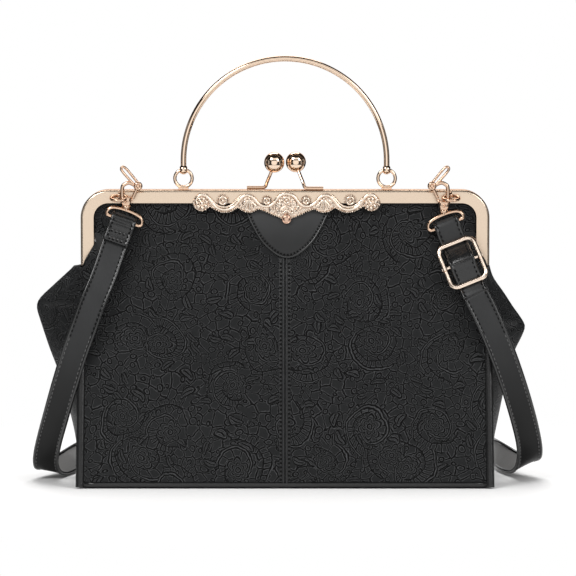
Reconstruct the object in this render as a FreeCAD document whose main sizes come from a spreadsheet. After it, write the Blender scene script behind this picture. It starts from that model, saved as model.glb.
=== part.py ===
# Kiss lock frame purse: a black bag on a hinged metal frame with a ball clasp, a bail handle and a clip-on strap.
# Millimetres. Origin: middle of the base on the floor. X to the right, Y to the back, Z up. The front faces -Y.
import FreeCAD, Part
import math
import os
import re
import Sketcher
from FreeCAD import Placement, Rotation, Vector

doc = FreeCAD.newDocument("purse")

SIZES = {
    # hinged frame: two bent channels that meet at rivets low on each side
    "hinge_height": 126, "frame_rise": 52, "frame_top": "=hinge_height + frame_rise",
    "frame_width": 250, "frame_face": 8, "frame_corner": 17, "frame_gap": 0.6,
    "channel_depth": 7, "channel_wall": 0.9, "frame_round": 1.8,
    "leg_rise": 6, "ear_radius": 4, "ear_thick": 1.2, "ear_gap": 0.2, "ear_lap": 2,
    "rivet_diameter": 2.4, "rivet_fit": 0.05, "rivet_head": 4.4, "rivet_head_height": 0.8,
    # ball clasp: two balls on bent arms that pass each other
    "ball_diameter": 12.4, "ball_spacing": 13.2, "ball_rise": 16.7, "ball_cross": 2.8,
    "clasp_foot_start": 12, "clasp_foot_length": 11.4, "clasp_foot_width": 4, "clasp_foot_height": 1.7,
    "clasp_arm": 2.6,
    # bail handle on two upright rings
    "handle_span": 124.6, "handle_rod": 3.5, "handle_straight": 5.7, "bead_diameter": 5.8, "bead_fit": 0.12,
    "loop_radius": 5.3, "loop_wire": 2.1, "loop_sink": 0.7,
    "loop_foot_length": 6.3, "loop_foot_width": 4, "loop_foot_height": 1,
    # cast ornament and leather tab on the front
    "ornament_width": 116, "ornament_drop": 16, "ornament_top_inset": 1.2, "ornament_plate": 1.35,
    "ornament_setback": 1, "ornament_seam": 0.2, "ornament_relief": 0.6, "rosette_radius": 2.5,
    "flower_radius": 4.6, "stud_diameter": 5, "stud_height": 1.5,
    "tab_width": 51, "tab_drop": 34, "tab_thick": 1, "tab_clearance": 0.25, "tab_top_gap": 0.5,
    # soft body: panels, gussets, base, piping, lining
    "base_inset": 1, "base_depth": 93, "waist_rise": 5.8, "waist_height": "=hinge_height + waist_rise",
    "waist_inset": 1.5, "waist_depth": 27.6,
    "panel_wall": 1.4, "panel_tuck": 6, "mouth_inset": 2.7, "mouth_side_gap": 0.6, "shoulder_share": 0.39, "seam_gap": 0.3,
    "split_gap": 0.4, "piping_diameter": 3.4, "piping_gap": 0.08, "piping_lift": 0.45, "piping_top_drop": 6,
    "gusset_wall": 2, "gusset_lift": 0.3, "gusset_bow": 2.5, "gusset_top_spread": 5.5,
    "left_wing_spread": 28, "left_wing_share": 0.8346, "right_wing_spread": 23, "right_wing_share": 0.7436,
    "base_wall": 1.6, "board_wall": 2, "board_inset": 3, "lining_wall": 0.8, "lining_gap": 0.2,
    # strap fittings: rings on staples, trigger hooks, swivel eyes
    "ring_radius": 4.8, "ring_wire": 1.8, "ring_dip": 15, "staple_wire": 1.4, "staple_fit": 0.15,
    "bore_land": 0.06,
    "ring_offset": 4.5, "staple_drop": 3.4,
    "hook_inset": 28.3, "hook_reach": 10.8, "hook_height": 19.9, "hook_arm_depth": 2.2, "hook_body_depth": 5.2,
    "hook_body_height": 7, "hook_below_ring": 8.9, "collar_height": 2, "collar_radius": 2.7,
    "boss_radius": 2.7, "boss_depth": 3.8, "gate_depth": 1.7, "gate_side_fit": 0.15, "gate_hub": 2.3,
    "gate_reach": 8.4, "gate_bar": 1.9, "lever_length": 14.6, "lever_bar": 2.1, "lever_pad": 4, "lever_pad_length": 7,
    "gate_pin": 1.5, "gate_pin_fit": 0.04, "slot_room": 0.5,
    "stud_shank": 2.4, "stud_fit": 0.1, "stud_cap": 3.4, "stud_cap_height": 1.6, "stud_neck": 3,
    "eye_width": 20, "eye_height": 5, "eye_corner": 2.4, "eye_wire": 2.1, "eye_drop": 2.6,
    # strap and its slider
    "strap_width": 16, "strap_thick": 2.2, "strap_fold_gap": 0.15, "strap_ply_gap": 0.1, "strap_flap": 15.6,
    "strap_taper": 10, "strap_lean_share": 0.42, "left_strap_angle": 20, "right_strap_angle": 22,
    "slider_width": 22.8, "slider_length": 27.4, "slider_corner": 4, "slider_wire": 2.1, "slider_place": 26.2,
    "slider_bar": 2, "slider_sleeve": 3.3, "slider_sleeve_length": 3, "slider_fit": 0.05, "slider_room": 0.3,
    "slider_flat": 1.5, "route_height": 178, "tail_room": 0.1, "fold_straight": 2,
    "overrun": 5,
}

sheet = doc.addObject("Spreadsheet::Sheet", "Sizes")
for row, (alias, size) in enumerate(SIZES.items(), start=1):
    sheet.set(f"A{row}", alias)
    sheet.set(f"B{row}", str(size))
    sheet.setAlias(f"B{row}", alias)
doc.recompute()

nodes = {}


def bind(text):
    """An expression in the sheet's own words, as another object writes it."""
    return re.sub(r"[a-z]+(?:_[a-z]+)+|overrun", lambda w: f"Sizes.{w[0]}" if w[0] in SIZES else w[0], str(text))


def size(text):
    return float(sheet.evalExpression(bind(text)))


def keep(name, thing):
    thing.Label = name
    nodes[name] = thing
    return thing


def solid(kind, name, **sizes):
    """A Part primitive whose properties follow the sheet."""
    thing = doc.addObject(kind, name)
    for prop, text in sizes.items():
        thing.setExpression(prop, bind(text))
    return thing


def put(thing, x=0, y=0, z=0, turn=None):
    """Place a thing by expressions, after turning it."""
    if turn:
        thing.Placement = Placement(Vector(), turn)
    for way, text in zip("xyz", (x, y, z)):
        thing.setExpression(f"Placement.Base.{way}", bind(text))
    return thing


def fuse(name, *things):
    both = doc.addObject("Part::MultiFuse", name)
    both.Shapes = things
    return both


def cut(name, base, tool):
    less = doc.addObject("Part::Cut", name)
    less.Base, less.Tool = base, tool
    return less


ALONG_X = Rotation(Vector(0, 0, 1), Vector(1, 0, 0))
ALONG_Y = Rotation(Vector(0, 0, 1), Vector(0, 1, 0))


def sketch(body, name, role, rise="0"):
    """A sketch on one of the body's own origin planes, lifted off it by rise."""
    flat = body.newObject("Sketcher::SketchObject", name)
    flat.AttachmentSupport = [(next(f for f in body.Origin.OriginFeatures if f.Role == role), "")]
    flat.MapMode = "FlatFace"
    flat.setExpression("AttachmentOffset.Base.z", bind(rise))
    return flat


def pin_point(flat, geo, end, point):
    """Tie one point of a sketch to two expressions."""
    for kind, text in zip(("DistanceX", "DistanceY"), point):
        item = flat.addConstraint(Sketcher.Constraint(kind, -1, 1, geo, end, size(text)))
        flat.setExpression(f"Constraints[{item}]", bind(text))


def polygon(flat, points):
    """A closed outline through points written as pairs of expressions."""
    spots = [Vector(size(x), size(y), 0) for x, y in points]
    count = len(spots)
    first = flat.GeometryCount
    for i in range(count):
        flat.addGeometry(Part.LineSegment(spots[i], spots[(i + 1) % count]))
    for i in range(count):
        flat.addConstraint(Sketcher.Constraint("Coincident", first + i, 2, first + (i + 1) % count, 1))
        pin_point(flat, first + i, 1, points[i])
    return flat


def circle(flat, x, y, radius):
    geo = flat.addGeometry(Part.Circle(Vector(size(x), size(y), 0), Vector(0, 0, 1), size(radius)))
    pin_point(flat, geo, 3, (x, y))
    item = flat.addConstraint(Sketcher.Constraint("Radius", geo, size(radius)))
    flat.setExpression(f"Constraints[{item}]", bind(radius))
    return flat


def pad(body, flat, depth, midplane=False, back=False):
    block = body.newObject("PartDesign::Pad", flat.Name + "_pad")
    block.Profile = flat
    block.setExpression("Length", bind(depth))
    block.Midplane = midplane
    block.Reversed = back
    return block


def pocket(body, flat, depth, midplane=False):
    doc.recompute()
    before = body.Shape.Volume
    hole = body.newObject("PartDesign::Pocket", flat.Name + "_cut")
    hole.Profile = flat
    hole.setExpression("Length", bind(depth))
    hole.Midplane = midplane
    doc.recompute()
    assert body.Shape.Volume < before, f"{flat.Name} cuts nothing"
    return hole


def loft(name, sections):
    """A body lofted straight through flat outlines, each a height and its points."""
    body = doc.addObject("PartDesign::Body", name)
    flats = [polygon(sketch(body, f"{name}_{i}", "XY_Plane", rise), points)
             for i, (rise, points) in enumerate(sections)]
    doc.recompute()
    block = body.newObject("PartDesign::AdditiveLoft", name + "_loft")
    block.Profile = flats[0]
    block.Sections = flats[1:]
    block.Ruled = True
    return keep(name, body)


def feature(name, shape):
    """A sub-part whose shape is made here from the sheet's sizes."""
    thing = doc.addObject("Part::Feature", name)
    thing.Shape = shape
    return keep(name, thing)


def signed(side, text):
    return f"{side} * ({text})"


# Frame halves

FRONT, BACK = -1, 1
LEFT, RIGHT = -1, 1
SIDE_NAMES = {LEFT: "left", RIGHT: "right"}
HALF_NAMES = {FRONT: "front", BACK: "back"}

half_width = "frame_width / 2"
leg_end = "(hinge_height + leg_rise)"
near_face = "frame_gap / 2"
far_face = "(frame_gap / 2 + channel_depth)"
channel_middle = "(frame_gap / 2 + channel_depth / 2)"


def frame_path(body, name):
    """Up one leg, round a corner, along the top, round a corner and down."""
    flat = sketch(body, name, "XZ_Plane")
    shoulder = "frame_top - frame_corner"
    inner = "(frame_width / 2 - frame_corner)"
    lines = [((f"-{half_width}", leg_end), (f"-{half_width}", shoulder)),
             ((f"-{inner}", "frame_top"), (inner, "frame_top")),
             ((half_width, shoulder), (half_width, leg_end))]
    radius = size("frame_corner")
    middle = Vector(size(inner), size(shoulder), 0)
    arcs = [Part.ArcOfCircle(Part.Circle(Vector(side * middle.x, middle.y, 0), Vector(0, 0, 1), radius), *turn)
            for side, turn in ((LEFT, (math.pi / 2, math.pi)), (RIGHT, (0, math.pi / 2)))]
    ends = [Part.LineSegment(*(Vector(size(x), size(y), 0) for x, y in line)) for line in lines]
    for piece in (ends[0], arcs[0], ends[1], arcs[1], ends[2]):
        flat.addGeometry(piece)
    for geo, line in zip((0, 2, 4), lines):
        for end, point in enumerate(line, start=1):
            pin_point(flat, geo, end, point)
    for pair in ((0, 2, 1, 2), (1, 1, 2, 1), (2, 2, 3, 2), (3, 1, 4, 1)):
        flat.addConstraint(Sketcher.Constraint("Coincident", *pair))
    for geo in (1, 3):
        item = flat.addConstraint(Sketcher.Constraint("Radius", geo, radius))
        flat.setExpression(f"Constraints[{item}]", bind("frame_corner"))
    return flat


def frame_section(body, name, half):
    """A channel open towards the bag, with its showing edge rounded, at the foot of the left leg."""
    flat = sketch(body, name, "XY_Plane", leg_end)
    out, lip = f"-{half_width}", "(frame_face - frame_width / 2)"
    web = "(channel_wall - frame_width / 2)"
    bend = "(frame_round - frame_width / 2)"
    show, hide = signed(half, far_face), signed(half, near_face)
    show_in = signed(half, f"{far_face} - channel_wall")
    hide_in = signed(half, "frame_gap / 2 + channel_wall")
    show_bend = signed(half, f"{far_face} - frame_round")
    points = [(bend, show), (lip, show), (lip, show_in), (web, show_in), (web, hide_in), (lip, hide_in),
              (lip, hide), (out, hide), (out, show_bend)]
    spots = [Vector(size(x), size(y), 0) for x, y in points]
    for i in range(len(points) - 1):
        flat.addGeometry(Part.LineSegment(spots[i], spots[i + 1]))
    centre = Vector(size(bend), size(show_bend), 0)
    turn = (math.pi, 3 * math.pi / 2) if half == FRONT else (math.pi / 2, math.pi)
    arc = flat.addGeometry(Part.ArcOfCircle(Part.Circle(centre, Vector(0, 0, 1), size("frame_round")), *turn))
    for i in range(len(points) - 1):
        pin_point(flat, i, 1, points[i])
        if i:
            flat.addConstraint(Sketcher.Constraint("Coincident", i - 1, 2, i, 1))
    pin_point(flat, len(points) - 2, 2, points[-1])
    first, last = (1, 2) if half == FRONT else (2, 1)
    flat.addConstraint(Sketcher.Constraint("Coincident", len(points) - 2, 2, arc, first))
    flat.addConstraint(Sketcher.Constraint("Coincident", arc, last, 0, 1))
    item = flat.addConstraint(Sketcher.Constraint("Radius", arc, size("frame_round")))
    flat.setExpression(f"Constraints[{item}]", bind("frame_round"))
    return flat


# the front half's hinge ears lie against its webs, the back half's lie just inside those
EAR_FACES = {FRONT: "(frame_width / 2 - channel_wall)",
             BACK: "(frame_width / 2 - channel_wall - ear_thick - ear_gap)"}


def make_frame(half):
    name = HALF_NAMES[half] + "_frame"
    body = doc.addObject("PartDesign::Body", name)
    path = frame_path(body, name + "_path")
    section = frame_section(body, name + "_section", half)
    doc.recompute()
    pipe = body.newObject("PartDesign::AdditivePipe", name + "_pipe")
    pipe.Profile = section
    pipe.Spine = (path, [f"Edge{i}" for i in range(1, 6)])
    for side in (LEFT, RIGHT):
        tag = f"{name}_{SIDE_NAMES[side]}_ear"
        outer = EAR_FACES[half]
        start = outer if side == LEFT else f"{outer} - ear_thick"
        rise = f"-({outer})" if side == LEFT else start
        top = f"{leg_end} + ear_lap"
        neck = polygon(sketch(body, tag + "_neck", "YZ_Plane", rise),
                       [(signed(half, f"{far_face} - channel_wall"), top), (signed(half, near_face), top),
                        (signed(half, near_face), "hinge_height"), (signed(half, "ear_radius"), "hinge_height")])
        pad(body, neck, "ear_thick")
        pad(body, circle(sketch(body, tag + "_disc", "YZ_Plane", rise), "0", "hinge_height", "ear_radius"), "ear_thick")
    bore = circle(sketch(body, name + "_bore", "YZ_Plane"), "0", "hinge_height", "rivet_diameter / 2 + rivet_fit")
    pocket(body, bore, "frame_width + overrun", midplane=True)
    return keep(name, body)


for half in (FRONT, BACK):
    make_frame(half)

for side in (LEFT, RIGHT):
    name = f"hinge_rivet_{SIDE_NAMES[side]}"
    inner = f"{EAR_FACES[BACK]} - ear_thick - rivet_fit"
    outer = f"{EAR_FACES[FRONT]} + rivet_fit"
    parts = []
    for tag, low, high, across in (("shank", inner, outer, "rivet_diameter"),
                                   ("inner_head", f"{inner} - rivet_head_height", inner, "rivet_head"),
                                   ("outer_head", outer, f"{outer} + rivet_head_height", "rivet_head")):
        piece = solid("Part::Cylinder", f"{name}_{tag}", Radius=f"{across} / 2", Height=f"{high} - ({low})")
        parts.append(put(piece, low if side == RIGHT else f"-({high})", 0, "hinge_height", ALONG_X))
    keep(name, fuse(name, *parts))


# Ball clasp: the arm on each half carries its ball across to the other half's side

def between(name, start, end, radius):
    """A round bar from one point to another."""
    low, high = (Vector(*(size(text) for text in point)) for point in (start, end))
    bar = solid("Part::Cylinder", name, Radius=radius)
    bar.Height = (high - low).Length
    return put(bar, *start, turn=Rotation(Vector(0, 0, 1), high - low))


for half in (FRONT, BACK):
    side = RIGHT if half == FRONT else LEFT
    tag = HALF_NAMES[half]
    ball_at = (signed(side, "ball_spacing / 2"), signed(-half, "ball_cross"), "frame_top + ball_rise")
    root = (signed(side, "clasp_foot_start + clasp_arm / 4"), signed(half, channel_middle),
            "frame_top + clasp_foot_height / 2")
    foot = solid("Part::Box", f"clasp_foot_{tag}", Length="clasp_foot_length", Width="clasp_foot_width",
                 Height="clasp_foot_height")
    put(foot, "clasp_foot_start" if side == RIGHT else "-(clasp_foot_start + clasp_foot_length)",
        f"{signed(half, channel_middle)} - clasp_foot_width / 2", "frame_top")
    stem = between(f"clasp_stem_{tag}", root, ball_at, "clasp_arm / 2")
    floor = solid("Part::Box", f"clasp_trim_{tag}", Length="frame_width", Width="base_depth", Height="overrun")
    put(floor, f"-{half_width}", "-base_depth / 2", "frame_top - overrun")
    room = put(solid("Part::Sphere", f"clasp_socket_{tag}", Radius="ball_diameter / 2"), *ball_at)
    arm = cut(f"clasp_arm_{tag}", fuse(f"clasp_blank_{tag}", foot, stem), fuse(f"clasp_tools_{tag}", room, floor))
    keep(f"clasp_arm_{tag}", arm)
    ball = put(solid("Part::Sphere", f"clasp_ball_{tag}", Radius="ball_diameter / 2"), *ball_at)
    keep(f"clasp_ball_{tag}", ball)


# Bail handle on two rings that stand on the back half

loop_height = "(frame_top + loop_foot_height + loop_radius + loop_wire / 2 - loop_sink)"
bail_axis = f"({loop_height} + loop_radius)"
bail_centre = f"({bail_axis} + handle_straight)"
ACROSS_Y = Rotation(Vector(1, 0, 0), 90)
TO_X = Rotation(Vector(0, 0, 1), Vector(1, 0, 0))
# a bead's hole flares as much as the ring's wire drops away within it, so the bead can turn on the ring
bead_flare = "(loop_radius - sqrt(loop_radius * loop_radius - bead_diameter * bead_diameter / 4))"

bow = solid("Part::Torus", "handle_arc", Radius1="handle_span / 2", Radius2="handle_rod / 2")
bow.Angle3 = 180
put(bow, 0, channel_middle, bail_centre, ACROSS_Y)
handle_rods, handle_beads = [bow], []
for side in (LEFT, RIGHT):
    tag = SIDE_NAMES[side]
    at = (signed(side, "handle_span / 2"), channel_middle)
    handle_rods.append(put(solid("Part::Cylinder", f"handle_end_{tag}", Radius="handle_rod / 2",
                                 Height="handle_straight"), *at, bail_axis))
    handle_beads.append(put(solid("Part::Sphere", f"handle_seat_{tag}", Radius="bead_diameter / 2"), *at, bail_axis))
    bores = []
    for end in (LEFT, RIGHT):
        bore = solid("Part::Cone", f"bead_bore_{tag}_{SIDE_NAMES[end]}", Radius1="loop_wire / 2 + bead_fit",
                     Radius2=f"loop_wire / 2 + bead_fit + {bead_flare}", Height="bead_diameter / 2")
        bores.append(put(bore, *at, bail_axis, Rotation(Vector(0, 0, 1), Vector(end, 0, 0))))
    land = solid("Part::Cylinder", f"bead_land_{tag}", Radius="loop_wire / 2 + bead_fit + bore_land", Height="bead_diameter")
    bores.append(put(land, f"{at[0]} - bead_diameter / 2", channel_middle, bail_axis, TO_X))
    bead = put(solid("Part::Sphere", f"bead_blank_{tag}", Radius="bead_diameter / 2"), *at, bail_axis)
    keep(f"handle_bead_{tag}", cut(f"handle_bead_{tag}", bead, fuse(f"bead_room_{tag}", *bores)))
    loop = put(solid("Part::Torus", f"loop_wire_{tag}", Radius1="loop_radius", Radius2="loop_wire / 2"),
               *at, loop_height, ACROSS_Y)
    foot = solid("Part::Box", f"loop_foot_{tag}", Length="loop_foot_length", Width="loop_foot_width",
                 Height="loop_foot_height")
    put(foot, f"{at[0]} - loop_foot_length / 2", f"{channel_middle} - loop_foot_width / 2", "frame_top")
    keep(f"handle_ring_{tag}", fuse(f"handle_ring_{tag}", loop, foot))
keep("handle_bow", cut("handle_bow", fuse("handle_rods", *handle_rods), fuse("handle_seats", *handle_beads)))


# Soft body

mouth = "(frame_gap / 2 + channel_depth - mouth_inset)"
mouth_bottom = "(frame_top - frame_face)"
panel_low = "(piping_diameter + piping_gap)"


def at_height(low, high, z):
    """A size that goes straight from the base to the waist, at height z."""
    return f"({low} + ({high} - {low}) * ({z}) / waist_height)"


def edge_x(z):
    """Half the distance between the side piping's middle lines."""
    return at_height("(frame_width / 2 - base_inset)", "(frame_width / 2 - waist_inset)", z)


def face_y(z):
    """How far the outer face of a panel stands from the middle."""
    return at_height("(base_depth / 2 + panel_wall / 2)", "(waist_depth / 2 + panel_wall / 2)", z)


def rectangle(x0, x1, y0, y1):
    return [(x0, y0), (x1, y0), (x1, y1), (x0, y1)]


def lower_wall(name, half, x0, inset, wall, trim, low):
    """A flat wall of the lower bag. x0 is its inner edge; None spans the full width."""
    sections = []
    for z in (low, "waist_height"):
        reach = f"({edge_x(z)} - piping_diameter / 2 - piping_gap - {trim})"
        outer = f"{face_y(z)} - {inset}"
        ends = (f"-{reach}", reach) if x0 is None else sorted((x0[0], signed(x0[1], reach)), key=size)
        sections.append((z, rectangle(*ends, signed(half, outer), signed(half, f"{outer} - {wall}"))))
    return loft(name, sections)


def upper_wall(name, half, x0, inset, wall):
    """A flat wall from the waist up into the frame's channel."""
    low = "(waist_height + split_gap)"
    reach = "(frame_width / 2 - frame_face - mouth_side_gap)"
    hem = f"({edge_x(low)} - piping_diameter / 2 - piping_gap)"
    corner = f"({reach} - frame_corner + frame_face)"
    foot, lip = f"({face_y('waist_height')} - {inset})", f"({mouth} - {inset})"
    shoulder = f"({foot} + ({lip} - {foot}) * shoulder_share)"
    sections = []
    for z, outer, span in ((low, foot, hem), (f"{low} + ({mouth_bottom} - {low}) * shoulder_share", shoulder, reach), (mouth_bottom, lip, reach),
                           (f"{mouth_bottom} + panel_tuck", lip, corner)):
        ends = (f"-{span}", span) if x0 is None else sorted((x0[0], signed(x0[1], span)), key=size)
        sections.append((z, rectangle(*ends, signed(half, outer), signed(half, f"({outer} - {wall})"))))
    return loft(name, sections)


for side in (LEFT, RIGHT):
    seam = (signed(side, "seam_gap / 2"), side)
    lower_wall(f"front_panel_{SIDE_NAMES[side]}", FRONT, seam, "0", "panel_wall", "0", panel_low)
    upper_wall(f"front_upper_{SIDE_NAMES[side]}", FRONT, seam, "0", "panel_wall")
lower_wall("back_panel", BACK, None, "0", "panel_wall", "0", panel_low)
upper_wall("back_upper", BACK, None, "0", "panel_wall")

lining_inset = "(panel_wall + lining_gap)"
lining_low = "(base_wall + board_wall + lining_wall + 4 * lining_gap)"
for half in (FRONT, BACK):
    tag = HALF_NAMES[half]
    lower_wall(f"lining_{tag}", half, None, lining_inset, "lining_wall", "gusset_wall", lining_low)
    upper_wall(f"lining_upper_{tag}", half, None, lining_inset, "lining_wall")


def gusset_sections(side, shrink, wall, top):
    """Chevrons that open out to the wing's tip and close again under the hinge."""
    tag = SIDE_NAMES[side]
    out, tip = f"(frame_width / 2 + {tag}_wing_spread)", f"{tag}_wing_share * waist_height"
    ridge_low = "(frame_width / 2 - base_inset + gusset_bow)"
    ridge_top = "(frame_width / 2 + gusset_top_spread)"
    levels = [(f"gusset_lift + {shrink} * 2", ridge_low), (tip, out), (top, ridge_top)]
    sections = []
    for z, ridge in levels:
        deep = f"({face_y(z)} - panel_wall / 2 - piping_diameter * 0.55 - piping_gap - {shrink} * 1.5)"
        edge = f"({edge_x(z)} - {shrink})"
        crest = f"({ridge} - {shrink})"
        outer = [(edge, f"-{deep}"), (crest, "0"), (edge, deep)]
        inner = [(f"({x} - {wall})", y) for x, y in reversed(outer)]
        points = [(signed(side, x), y) for x, y in outer + inner]
        sections.append((z, points if side == RIGHT else points[::-1]))
    return sections


for side in (LEFT, RIGHT):
    tag = SIDE_NAMES[side]
    loft(f"gusset_{tag}", gusset_sections(side, "0", "gusset_wall", "(waist_height - split_gap)"))
    below_ears = "(hinge_height - ear_radius - split_gap)"
    loft(f"lining_{tag}", gusset_sections(side, "(gusset_wall + lining_gap)", "lining_wall", below_ears))


def slab(name, reach_x, reach_y, low, wall):
    """A flat plate in the middle of the bag."""
    body = doc.addObject("PartDesign::Body", name)
    flat = polygon(sketch(body, name + "_plan", "XY_Plane", low),
                   rectangle(f"-({reach_x})", reach_x, f"-({reach_y})", reach_y))
    pad(body, flat, wall)
    return keep(name, body)


base_x = "(frame_width / 2 - base_inset - gusset_wall - lining_gap)"
base_y = "(base_depth / 2 - piping_diameter / 2 - piping_gap)"
board_y = f"({base_y} - lining_gap - lining_wall)"
slab("base_panel", base_x, base_y, "0", "base_wall")
slab("base_board", f"{base_x} - board_inset", f"{board_y} - board_inset", "base_wall + lining_gap / 2", "board_wall")
slab("lining_base", f"{base_x} - board_inset", f"{board_y} - board_inset",
     "base_wall + board_wall + lining_gap", "lining_wall")

for half in (FRONT, BACK):
    tag = HALF_NAMES[half]
    reach = f"({edge_x('piping_diameter')} - piping_diameter * 0.55 - piping_gap)"
    hem = solid("Part::Cylinder", f"piping_{tag}_base", Radius="piping_diameter / 2", Height=f"2 * {reach}")
    keep(f"piping_{tag}_base", put(hem, f"-{reach}", signed(half, "base_depth / 2"), "piping_diameter / 2", ALONG_X))
    for side in (LEFT, RIGHT):
        name = f"piping_{tag}_{SIDE_NAMES[side]}"
        ends = [(signed(side, edge_x(z)), signed(half, f"{face_y(z)} - panel_wall / 2"), z)
                for z in ("piping_lift", "waist_height - piping_top_drop")]
        keep(name, between(name, *ends, "piping_diameter / 2"))


# Front tab and cast ornament

tilt = math.degrees(math.atan2(size(f"{face_y('waist_height')} - {mouth}"),
                               size(f"{mouth_bottom} - waist_height - split_gap")))


# half of the tab's outline, from the middle of its lower edge up to its top corner
TAB_SHARES = [
    (0.0, 1.0), (0.12, 0.987), (0.25, 0.918), (0.42, 0.792), (0.6, 0.62), (0.72, 0.45), (0.84, 0.255), (0.94, 0.1),
    (1.0, 0.0),
]


def make_tab():
    """A leather tongue that lies on the upper panels under the ornament."""
    body = doc.addObject("PartDesign::Body", "front_tab")
    half = [(f"{x} * tab_width / 2", f"-{z} * tab_drop") for x, z in TAB_SHARES]
    mirrored = [(f"-({x})", z) for x, z in reversed(half[1:])]
    pad(body, polygon(sketch(body, "tab_outline", "XZ_Plane"), half + mirrored), "tab_thick")
    body.Placement = Placement(Vector(), Rotation(Vector(1, 0, 0), -tilt))
    put(body, 0, f"-({mouth} + tab_clearance)", f"{mouth_bottom} - tab_top_gap",
        Rotation(Vector(1, 0, 0), -tilt))
    return keep("front_tab", body)


make_tab()

# half of the ornament's outline, from the middle of its lower edge round to the middle of its top,
# as shares of its half width and of its drop
ORNAMENT_SHARES = [
    (0.0, 1.0), (0.07, 0.94), (0.13, 0.76), (0.19, 0.57), (0.25, 0.5), (0.31, 0.63), (0.385, 0.72), (0.45, 0.6),
    (0.51, 0.49), (0.565, 0.66), (0.64, 0.78), (0.715, 0.65), (0.78, 0.47), (0.83, 0.66), (0.9, 0.7), (0.97, 0.56),
    (1.0, 0.36), (0.96, 0.13), (0.89, 0.06), (0.82, 0.12), (0.74, 0.06), (0.62, 0.02), (0.5, 0.08), (0.38, 0.03),
    (0.25, 0.08), (0.12, 0.02), (0.0, 0.0),
]
ROSETTE_SHARES = [(0.0, 0.27), (0.215, 0.27), (0.672, 0.27)]
FLOWER_SHARES = [(0.9, 0.4)]
ornament_top = "(frame_top - ornament_top_inset)"
ornament_back = f"({far_face} + ornament_setback)"


def on_ornament(x_share, z_share):
    return f"{x_share} * ornament_width / 2", f"{ornament_top} - {z_share} * ornament_drop"


def make_ornament():
    """A scalloped casting: its top strip is soldered to the frame, the rest hangs clear of the tab."""
    body = doc.addObject("PartDesign::Body", "ornament")
    half = [on_ornament(*share) for share in ORNAMENT_SHARES]
    mirrored = [(f"-({x})", z) for x, z in reversed(half[1:-1])]
    outline = polygon(sketch(body, "ornament_outline", "XZ_Plane", ornament_back), half + mirrored)
    pad(body, outline, "ornament_plate")
    deep, high = f"{mouth_bottom} + ornament_seam", f"{ornament_top} - 0.13 * ornament_drop"
    strip = polygon(sketch(body, "ornament_strip", "XZ_Plane", far_face),
                    rectangle("-0.72 * ornament_width / 2", "0.72 * ornament_width / 2", deep, high))
    pad(body, strip, "ornament_setback + ornament_plate / 2")
    relief = sketch(body, "ornament_relief_plan", "XZ_Plane", f"{ornament_back} + ornament_plate")
    for shares, radius in ((ROSETTE_SHARES, "rosette_radius"), (FLOWER_SHARES, "flower_radius")):
        for x_share, z_share in shares:
            for side in (LEFT, RIGHT) if x_share else (RIGHT,):
                x, z = on_ornament(x_share, z_share)
                circle(relief, signed(side, x), z, radius)
    pad(body, relief, "ornament_relief")
    return keep("ornament", body)


make_ornament()
stud = solid("Part::Cylinder", "ornament_stud", Radius="stud_diameter / 2", Height="stud_height")
put(stud, 0, f"-({ornament_back} + ornament_plate)", f"{ornament_top} - ornament_drop",
    Rotation(Vector(0, 0, 1), Vector(0, -1, 0)))
keep("ornament_stud", stud)


# Strap rings on staples, and the trigger hooks that hold the strap

ring_pivot_y = f"(-({far_face}) - ring_wire / 2 - 0.25 * staple_wire)"
ring_pivot_z = "(frame_top - staple_drop)"
dip = math.radians(SIZES["ring_dip"])
ring_y = f"({ring_pivot_y} - ring_radius * cos(ring_dip * 1 deg))"
ring_z = f"({ring_pivot_z} - ring_radius * sin(ring_dip * 1 deg))"
hook_low = f"({ring_z} - hook_below_ring)"
hook_place = "(frame_width / 2 - hook_inset)"

# the hook's outline as shares of its reach (towards the middle of the bag) and its height above the collar
HOOK_SHARES = [
    (-0.34, 0.35), (-0.34, 0.8), (-0.27, 0.865), (0.09, 0.97), (0.22, 0.955), (0.4, 0.885), (0.69, 0.935),
    (0.58, 0.725), (0.215, 0.85), (0.075, 0.85), (-0.115, 0.765), (-0.115, 0.35),
]
BODY_SHARES = [(-0.205, 0.1), (-0.34, 0.352), (0.23, 0.352), (0.25, 0.41), (0.4, 0.41), (0.4, 0.352), (0.205, 0.1)]
PIVOT_SHARES = (0.667, 0.82)
GATE_SHARES = (-0.407, -0.914)
LEVER_SHARES = (-0.651, 0.759)


def on_hook(shares, mirror):
    return f"{mirror * shares[0]} * hook_reach", f"{shares[1]} * hook_height"


def bar_outline(start, way, length, wide, mirror):
    """The four corners of a straight bar from a point along a unit direction, given as shares."""
    (x, z), dx, dz = start, mirror * way[0], way[1]
    corners = []
    for along, across in ((0, 0.5), (length, 0.5), (length, -0.5), (0, -0.5)):
        corners.append((f"{x} + ({along}) * {dx} - {across * dz} * {wide}",
                        f"{z} + ({along}) * {dz} + {across * dx} * {wide}"))
    return corners


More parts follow.
